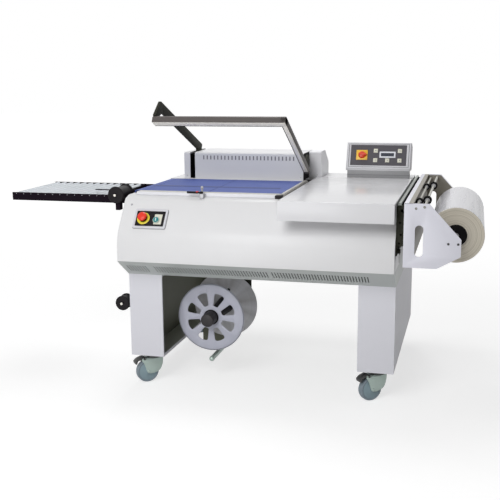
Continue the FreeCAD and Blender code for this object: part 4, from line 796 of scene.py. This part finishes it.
def dress_control_box():
    """Sheet box on a neck, a stepped frame round the dark face, switch plate, display and square keys."""
    mount = mounted(face_place)
    rise, run = math.sin(face_tilt), math.cos(face_tilt)
    top_y, top_z = box_y + box_face * rise, box_low + box_face * run
    shell = extruded([(box_y, box_low), (top_y, top_z), (top_y + 60 * run, top_z - 60 * rise),
                      (406, box_low)], "X", 372, 304, 2.6, 3)
    neck = extruded([(336, 846), (336, 884), (403, 884), (403, 846)], "X", 379, 290, 1.2)
    fixed("control_box_shell", shell, box_coat, ["control_box"])
    fixed("control_box_neck", neck, neck_shade)
    fixed("neck_joint", boxed((378, 334.6, 862), (670, 336.4, 864), 0.4, 1), box_shade)
    rim = rounded(rectangle(-149, -60, 149, 67), 4, 4)
    step = rectangle(-142, -53, 142, 62)
    groove = rectangle(-139.4, -50.6, 139.4, 60)
    mouth = rectangle(-133, -45, 130, 57)
    for name, outline, hole, start, depth, bevel, segments, finish in (
            ("frame", rim, step, -2.8, 3.0, 0.8, 2, box_frame),
            ("groove", step, groove, -0.6, 0.8, 0, 1, box_shade),
            ("bezel", groove, mouth, -2.2, 2.4, 0.6, 2, box_frame)):
        sheet = pierced(outline, [hole], "Y", start, depth, bevel, segments)
        mount("control_face_" + name, sheet, finish, "painted_sheet")
    mount("control_face", boxed((-133.2, -1.2, -45.2), (130.2, 0.2, 57.2), 0.3, 1), panel_grey,
          "black_plastic")
    mount("switch_plate", boxed((-106, -4.2, -18), (-53, -1.0, 31), 1.2, 3), plate_yellow, "label_cream")
    knob = turned([(0, 12), (11, 12), (14, 10.6), (16.4, 6), (17, 4), (17, 0.6), (0, 0.6)],
                  (-79, -4.2, 6), 48, to_front)
    grip_line = rounded([(-15, -6), (20, -4.5, 3), (24, 0, 3), (20, 4.5, 3), (-15, 6)], 4, 4)
    grip = extruded(grip_line, "Y", -22.6, 20, 1.6, 3)
    bmesh.ops.translate(grip, vec=(-79, 0, 6), verts=grip.verts)
    mount("switch_knob", merged(knob, grip), button_orange, "button_red", ["main_switch_knob"],
          "main_switch_knob_body")
    frame_line = rounded(rectangle(3.5, -6, 78.5, 24.5), 2.5, 3)
    window = rectangle(10.5, 1, 71.5, 17.5)
    mount("display_frame", pierced(frame_line, [window], "Y", -3.2, 2.2), label_pale, "label_cream")
    mount("display_glass", boxed((10.3, -2.2, 0.8), (71.7, -1.0, 17.7), 0.2, 1), display_glass,
          "black_plastic")
    key_half = 9.8
    for number, (x, z) in enumerate(((-15, 28), (-15, -19), (41, -19), (98, 28), (98, -19)), 1):
        label = "key_%d" % number
        cap = boxed((x - key_half, -4.2, z - key_half), (x + key_half, 3.6, z + key_half), 1.6, 3)
        mount(label + "_cap", cap, label_cream, "label_cream", [label], label + "_body")
        dot = turned([(0, 0), (2.6, 0), (2.2, 0.4), (0, 0.5)], (x, -4.1, z), 20, to_front)
        mount(label + "_mark", dot, mark_grey, "black_plastic", (), label + "_body")


# Film unwinder

def dress_bracket():
    """Folded bracket: two cheeks with hand slots, a full web, a top flange, screws and a duller inside of
    painted shade.
    """
    outline = [(716, 850), (809, 850), (929, 718), (929, 653), (842, 604), (716, 604)]
    slot_x, slot_half = 773.5, 15.5
    slot = []
    for z, turn in ((752, 0), (663, math.pi)):
        for angle in [turn + math.pi * k / 8 for k in range(9)]:
            slot.append((slot_x + slot_half * math.cos(angle), z + slot_half * math.sin(angle)))
    cheeks = [pierced(rounded(outline, 3, 3), [slot], "Y", y, 3, 0.7) for y in (front_y, rear_y - 3)]
    web = boxed((742, -506, 604), (745, 540, 848.5), 0.6, 1)
    flange = boxed((716, -508, 847), (750, 542, 850), 0.8)
    fixed("bracket_sheets", merged(web, flange, *cheeks), bracket_coat,
          ["unwinder_bracket"], 30)
    heads = []
    for x, z in feeds_at + ((882, 701), (918, 701)):
        heads += screws_at([(x, front_y, z)], 0, 4.6, 2.2) + screws_at([(x, rear_y, z)], math.pi, 4.6, 2.2)
    fixed("bracket_screws", merged(*heads), dark_steel)
    # Darker sheets over the rear cheek's inner face, the web and the right half of the top flange: painted
    # shade of the bracket's inside.
    inner = rounded([(745.4, 846), (808, 846), (926, 716), (926, 655), (841, 607), (745.4, 607)], 3, 3)
    lining = pierced(inner, [slot], "Y", 538.2, 0.8, 0, 1)
    web_face = boxed((745, -504, 606), (745.6, 538, 847), 0)
    ledge = boxed((733, -505, 849.7), (750.2, 539, 850.3), 0)
    fixed("bracket_inside_shade", merged(lining, web_face, ledge), bracket_shade)


def dress_feed_rollers():
    """Dull tubes with black rubber drive rings and grey hubs."""
    for label, (x, z), radius in zip(("left", "right"), feeds_at, (14.4, 16.875)):
        node = "feed_roller_" + label
        body = node + "_body"
        tube = turned([(0, -504.5), (5, -504.5), (5, 538), (0, 538)], (x, 0, z), 28)
        tips = [turned([(0, 0), (5, 0), (5, 6), (0, 6)], (x, y, z), 20) for y in (-510, 537.8)]
        piece("feed_%s_tube" % label, merged(tube, *tips), tube_dull, body, [node])
        hubs = [turned([(4.7, 0), (radius * 0.55, 0), (radius * 0.55, 22.6), (4.7, 22.6)], (x, y, z), 28)
                for y in (-319.3, 170.7)]
        piece("feed_%s_hubs" % label, merged(*hubs), cast_alloy, body)
        rings = []
        for y in (-318, 172):
            inner = radius * 0.55
            rings.append(turned([(inner, 0), (radius - 1.6, 0), (radius, 1.8), (radius - 0.5, 10),
                                 (radius, 18.2), (radius - 1.6, 20), (inner, 20), (inner, 0)], (x, y, z),
                                40))
        piece("feed_%s_rings" % label, merged(*rings), black_rubber, body)


def dress_film_roll():
    """Wound film: ridged ends that show the layers, a streaked skin, and the black chucks inside."""
    ends = [(38.2, -317.2), (44, -318), (52, -317.3), (60, -318), (69, -317.2), (78, -317.9),
            (86, -317.1), (93, -318), (101, -317.4), (107, -317.9), (109.4, -316.9)]
    rear = [(109.4, 371), (104, 371.6), (80, 371), (60, 371.8), (38.2, 371.2)]
    skin = turned([(109.2, -315.8), (110, -315.2), (110, 369), (109.2, 369.6), (109.2, -315.8)], roll_at,
                  96)
    piece("film_skin", skin, film_skin, "film_roll_body", ["film_roll"])
    body = turned(ends + [(109.3, -315), (109.3, 369.5)] + rear + [ends[0]], roll_at, 96)
    piece("film_layers", body, film_end, "film_roll_body")
    bar = turned([(0, -504.8), (11, -504.8), (12, -503.8), (12, 538), (0, 538)], roll_at, 36)
    fixed("mandrel_bar", bar, cast_alloy, ["mandrel"])
    front_chuck = [(12, -330), (30, -330), (42, -326), (43, -323), (43, -318.3), (37.9, -318.3),
                   (37.9, -258), (34, -256), (12, -256)]
    rear_chuck = [(12, 312), (34, 312), (37.9, 314), (37.9, 372.3), (43, 372.3), (43, 376), (40, 384),
                  (12, 384)]
    chucks = [turned(line, roll_at, 48) for line in (front_chuck, rear_chuck)]
    fixed("mandrel_chucks", merged(*chucks), black_rubber)


def dress_guide_frame():
    """Dark sheet with ribs and two rods between the casing and the unwinder, with a wing nut below."""
    sheet = boxed((685.3, -478, 640), (690.5, 522, 831.5))
    ribs = [boxed((690, y, 650), (694, y + 6, 826)) for y in range(-430, 500, 155)]
    ends = [boxed((690, y, 680), (741.8, y + 8, 838)) for y in (-478, 514)]
    knob = turned([(0, 0), (9, 0), (9, 9), (7, 12), (0, 12)], (690, -448, 654), 24, to_right)
    fixed("film_guide", merged(sheet, knob, *(ribs + ends)), olive_coat,
          ["film_guide_frame"])
    rods = [turned([(0, 0), (7, 0), (7, 1000), (0, 1000)], (x, -478, z), 24)
            for x, z in ((697, 840), (709, 816))]
    stays = [turned([(0, 0), (4, 0), (4, 1000), (0, 1000)], (x, -478, z), 18)
             for x, z in ((700, 770), (704, 724), (698, 690))]
    wing = boxed((698, -452, 640), (701, -430, 660), 1.2)
    fixed("film_guide_rods", merged(wing, *(rods + stays)), rod_steel)


# Scrap winder

def window_line(turn):
    """One rounded wedge window of the spool flange."""
    corners = [(52, -10, 6), (106, -25, 11), (112.5, 0, 40), (106, 25, 11), (52, 10, 6)]
    line = rounded(corners, 6, 5)
    return [(x * math.cos(turn) - z * math.sin(turn), x * math.sin(turn) + z * math.cos(turn))
            for x, z in line]


def dress_spool():
    """A front flange with eight windows, a plain rear flange, a black tapered core and a hub knob."""
    windows = [window_line(math.radians(22.5 + 45 * k)) for k in range(8)]
    windows.append(ring_of((0, 0), 34.2, 48))
    plate = pierced(ring_of((0, 0), 149, 96), windows, "Y", spool_front, 4, 0.9)
    bmesh.ops.translate(plate, vec=spool_at, verts=plate.verts)
    rim = turned(both_ends([(146, 0), (149.2, 0), (150, 1.2)], 4) + [(146, 0)],
                 (spool_x, spool_front, spool_z), 96)
    piece("spool_front_flange", merged(plate, rim), spool_moulding, "scrap_spool_body",
          ["scrap_spool"], 30)
    # The rear flange's lighter tone and its sectors are painted light.
    back = turned([(10.1, -27), (44, -27), (46, -26.4), (140, -26.4), (144, -27.2), (149.2, -27.2),
                   (150, -26), (150, -24.2), (149.2, -23), (10.1, -23), (10.1, -27)], spool_at, 96)
    piece("spool_rear_flange", back, spool_plate_painted_sheen, "scrap_spool_body")
    core = turned([(10.1, -257.4), (33, -257.4), (34, -256.6), (34, -253.8), (39, -253.8), (39, -249.9),
                   (26, -249.9), (39, -27.2), (10.1, -27.2), (10.1, -257.4)], spool_at, 64)
    pin = turned([(0, -39), (5, -39), (7, -37), (7, -27), (0, -27)], (-110, 0, 358), 24)
    piece("spool_core_turned", merged(core, pin), black_moulding, "scrap_spool_body",
          ["spool_core"])
    knob = turned([(0, -62), (22, -62), (26.6, -60), (29, -56), (29, -6), (29.4, -4), (29.4, -0.8),
                   (0, -0.8)], (spool_x, spool_front, spool_z), 48)
    fixed("spool_hub_knob", knob, knob_grey)
    cap = turned([(0, -11), (6, -10.4), (9.6, -7.6), (11.4, -3), (11.4, 6), (10.2, 7), (0, 7)],
                 (-125, -254, 98), 28)
    tube = turned([(9.1, -246), (10.6, -245), (10.6, -32), (9.1, -31), (9.1, -246)], (-125, 0, 98), 32)
    piece("dancer_roller_tube", merged(cap, tube), zinc_plate, "dancer_arm_body")
    # A dark olive plate behind the lower spool stands for the shade there: painted shade.
    shade_sheet_line = rounded([(-243, 92), (-146, 92), (-116, 140), (-96, 175), (-70, 210), (-200, 210),
                          (-243, 160)], 8, 5)
    shade_sheet = extruded(shade_sheet_line, "Y", -8.6, 3.2, 0.6, 1)
    fixed("spool_shade_plate", shade_sheet, shade_olive)


# Castors

def dress_castor(label, x, y, brake):
    """Dark plate and ball race, a zinc fork, a covered wheel, and a dark pedal on the front pair."""
    place = Matrix.Translation((x, y, 0)) @ Matrix.Rotation(math.radians(castor_turn), 4, "Z")
    swivel = mounted(place, label + "_swivel")
    roll = mounted(place, label + "_roll")
    plate = boxed((-44, -36, 132), (44, 36, 135.9), 1.4, 3)
    bolts = [turned([(0, 0), (6, 0), (6, -4), (4.5, -5.4), (0, -5.4)], (bx, by, 132), 6, upwards)
             for bx in (-34, 34) for by in (-26, 26)]
    race = turned([(0, 112), (33, 112), (35, 117), (33, 122), (27, 124), (27, 128), (31, 131),
                   (31, 132.5), (0, 132.5)], (0, 0, 0), 48, upwards)
    swivel(label + "_castor_head", merged(plate, race, *bolts), dark_steel, "dark_frame")
    cheeks = []
    for low in (-22.4, 19.4):
        line = rounded([(34, 112, 4), (33, 86, 16), (22, 52, 18), (-8, 40, 16), (-34, 41, 8),
                        (-43, 52, 8), (-52, 84, 14), (-66, 104, 4), (-62, 112, 3)], 5, 6)
        cheeks.append(pierced(line, [], "Y", low, 3, 0.9))
    crown_line = rounded([(34, 106), (34, 112), (-62, 112), (-62, 106)], 2, 2)
    crown = extruded(crown_line, "Y", -22.4, 44.8, 1.2)
    axle = turned(both_ends([(0, -25), (5, -25), (6.4, -23.6), (6.4, -22), (5, -22)], 0),
                  (wheel_trail, 0, wheel_radius), 24)
    rod = boxed((-64, -24.6, 104.4), (10, -22.2, 107.4), 0.8)
    swivel(label + "_castor_fork_shape", merged(crown, axle, rod, *cheeks), zinc_plate, "zinc",
           [label + "_castor_fork"])
    tyre_half = [(40, 2), (45, 0.6), (48.4, 2.4), (50, 7)]
    tyre = turned(both_ends(tyre_half, wheel_width) + tyre_half[:1], wheel_at, 64)
    roll(label + "_castor_tyre", tyre, tyre_rubber, "wheel_grey", [label + "_castor_wheel"])
    hub_half = [(5.1, -2), (13, -2), (15, -1), (30, 0.2), (38, 1.6), (40.4, 2.4)]
    hub = turned(both_ends(hub_half, wheel_width) + hub_half[:1], wheel_at, 64)
    roll(label + "_castor_hub", hub, wheel_moulding, "wheel_grey")
    if brake:
        line = rounded([(-44, 114, 3), (-58, 118, 5), (-82, 110, 7), (-94, 98, 3), (-90, 86, 3),
                        (-84, 88, 2), (-80, 102, 6), (-60, 104, 5), (-46, 105, 3)], 3, 4)
        pedal = extruded(line, "Y", -16, 32, 1.2)
        pin = turned(both_ends([(0, -25), (4, -25), (5, -24), (5, -22.8), (3.9, -22.6)], 0),
                     (-52, 0, 109), 20)
        piece(label + "_brake_pedal", placed(merged(pedal, pin), place), dark_steel, label + "_brake",
              [label + "_castor_pedal"])


# Legs

def dress_legs():
    """Screws behind, and the darker inside of each leg with its paler floor: partly the leg's own tone,
    partly painted shade.
    """
    heads = screws_at([(x, rear_y, z) for x in (-427, 663) for z in (478, 160)], math.pi, 4)
    fixed("leg_screws", merged(*heads), turned_steel)
    leg_front, leg_rear, foot, top = -389, 539, 139, 495
    # Olive sheets on the walls and roof and a grey sheet on the floor inside each leg: partly the leg's own
    # tone, partly painted shade.
    for label, wall, mouth in (("left", -399.9, -304.2), ("right", 635.9, 540.2)):
        way = 1 if mouth > wall else -1
        low, high = min(wall, mouth), max(wall, mouth)
        back = boxed((min(wall, wall + way), leg_front, foot), (max(wall, wall + way), leg_rear, top), 0)
        front = boxed((low, leg_front - 0.3, foot), (high, leg_front + 0.5, top), 0)
        rear = boxed((low, leg_rear - 0.5, foot), (high, leg_rear + 0.3, top), 0)
        floor = boxed((low, leg_front, foot - 0.3), (high, leg_rear, foot + 0.5), 0)
        roof = boxed((low, leg_front, top - 0.5), (high, leg_rear, top + 0.3), 0)
        fixed(label + "_leg_shade_lining", merged(back, front, rear, roof), shade_olive)
        fixed(label + "_leg_floor_shade", floor, pale_floor_shade)


dress_front_panel()
dress_tray()
dress_casing_trim()
dress_seal_base()
dress_pads()
dress_belt_edges()
dress_arm()
dress_film_stop()
dress_hood()
dress_exit_table()
dress_pulleys()
dress_station()
dress_control_box()
dress_bracket()
dress_feed_rollers()
dress_film_roll()
dress_guide_frame()
dress_spool()
for corner_y, row in ((-314, "front"), (464, "rear")):
    for corner_x, side_name in ((-373, "left"), (609, "right")):
        dress_castor(row + "_" + side_name, corner_x, corner_y, row == "front")
dress_legs()


# Floor, light and camera

def ray_share(tree, *labels):
    """One for the named kinds of ray, else nought."""
    rays = node_of(tree, "LightPath")
    share = rays.outputs[labels[0]]
    for label in labels[1:]:
        share = reckon(tree, "MAXIMUM", share, rays.outputs[label])
    return share


def stage_floor():
    """A pale floor that fades to white away from the machine."""
    bm = bmesh.new()
    bmesh.ops.create_grid(bm, x_segments=1, y_segments=1, size=30)
    mesh = bpy.data.meshes.new("floor")
    bm.to_mesh(mesh)
    bm.free()
    floor = linked("floor", mesh)
    finish, tree, shader = bare_finish("pale_floor")
    seen = ray_share(tree, "Is Camera Ray", "Is Glossy Ray")
    tone = blended(tree, "MIX", seen, (0.66, 0.66, 0.66, 1), (0.46, 0.46, 0.46, 1))
    far = reckon(tree, "LENGTH", node_of(tree, "TexCoord").outputs["Object"], kind="VectorMath")
    near_and_far = {"Value": far, "From Min": 1.2, "From Max": 6.0, "To Min": 0.66, "To Max": 0.90}
    fade = node_of(tree, "MapRange", near_and_far)
    glow = reckon(tree, "MULTIPLY", seen, fade.outputs["Result"])
    for label, value in (("Roughness", 0.9), ("Specular IOR Level", 0.1), ("Base Color", tone),
                         ("Emission Color", (1, 1, 1, 1)), ("Emission Strength", glow)):
        feed(tree, value, shader.inputs[label])
    mesh.materials.append(finish)


def studio_light():
    """A world that looks white and lights little, and four round lamps; sizes in metres, power in watts."""
    world = bpy.data.worlds.new("studio")
    bpy.context.scene.world = world
    world.use_nodes = True
    tree = world.node_tree
    back = tree.nodes["Background"]
    seen = ray_share(tree, "Is Camera Ray", "Is Glossy Ray", "Is Transmission Ray")
    feed(tree, (1, 1, 1, 1), back.inputs["Color"])
    feed(tree, reckon(tree, "MULTIPLY_ADD", seen, 0.82, 0.18), back.inputs["Strength"])
    for name, spot, aim, size, power in (
            ("key", (-0.6, -3.9, 3.1), (0.1, 0, 0.7), 2.4, 90),
            ("low", (-0.6, -3.2, 0.35), (0.1, 0, 0.9), 1.6, 25),
            ("top", (-0.2, 0.5, 3.8), (0, 0, 0.8), 1.7, 39),
            ("rear", (-0.4, 3.4, 4.4), (0, 0, 0.6), 1.6, 44)):
        lamp = bpy.data.lights.new(name, "AREA")
        lamp.shape = "DISK"
        lamp.size = size
        lamp.energy = power
        item = linked(name, lamp)
        item.location = spot
        item.rotation_euler = (Vector(aim) - Vector(spot)).to_track_quat("-Z", "Y").to_euler()


def photo_camera():
    """The camera as fitted to the photo: its three axes, then its place in metres."""
    lens = bpy.data.cameras.new("camera")
    lens.sensor_width = 36
    lens.lens = 62.13
    item = linked("camera", lens)
    right = Vector((0.96791723, 0.25117796, -0.00677289))
    up = Vector((-0.04190987, 0.18795997, 0.98128213))
    back = Vector((0.24774948, -0.94951602, 0.19245653))
    turn = Matrix((right, up, back)).transposed().to_4x4()
    item.matrix_world = Matrix.Translation((0.9641, -3.7478, 1.3031)) @ turn
    bpy.context.scene.camera = item


stage_floor()
studio_light()
photo_camera()
bpy.context.scene.view_settings.view_transform = "Standard"
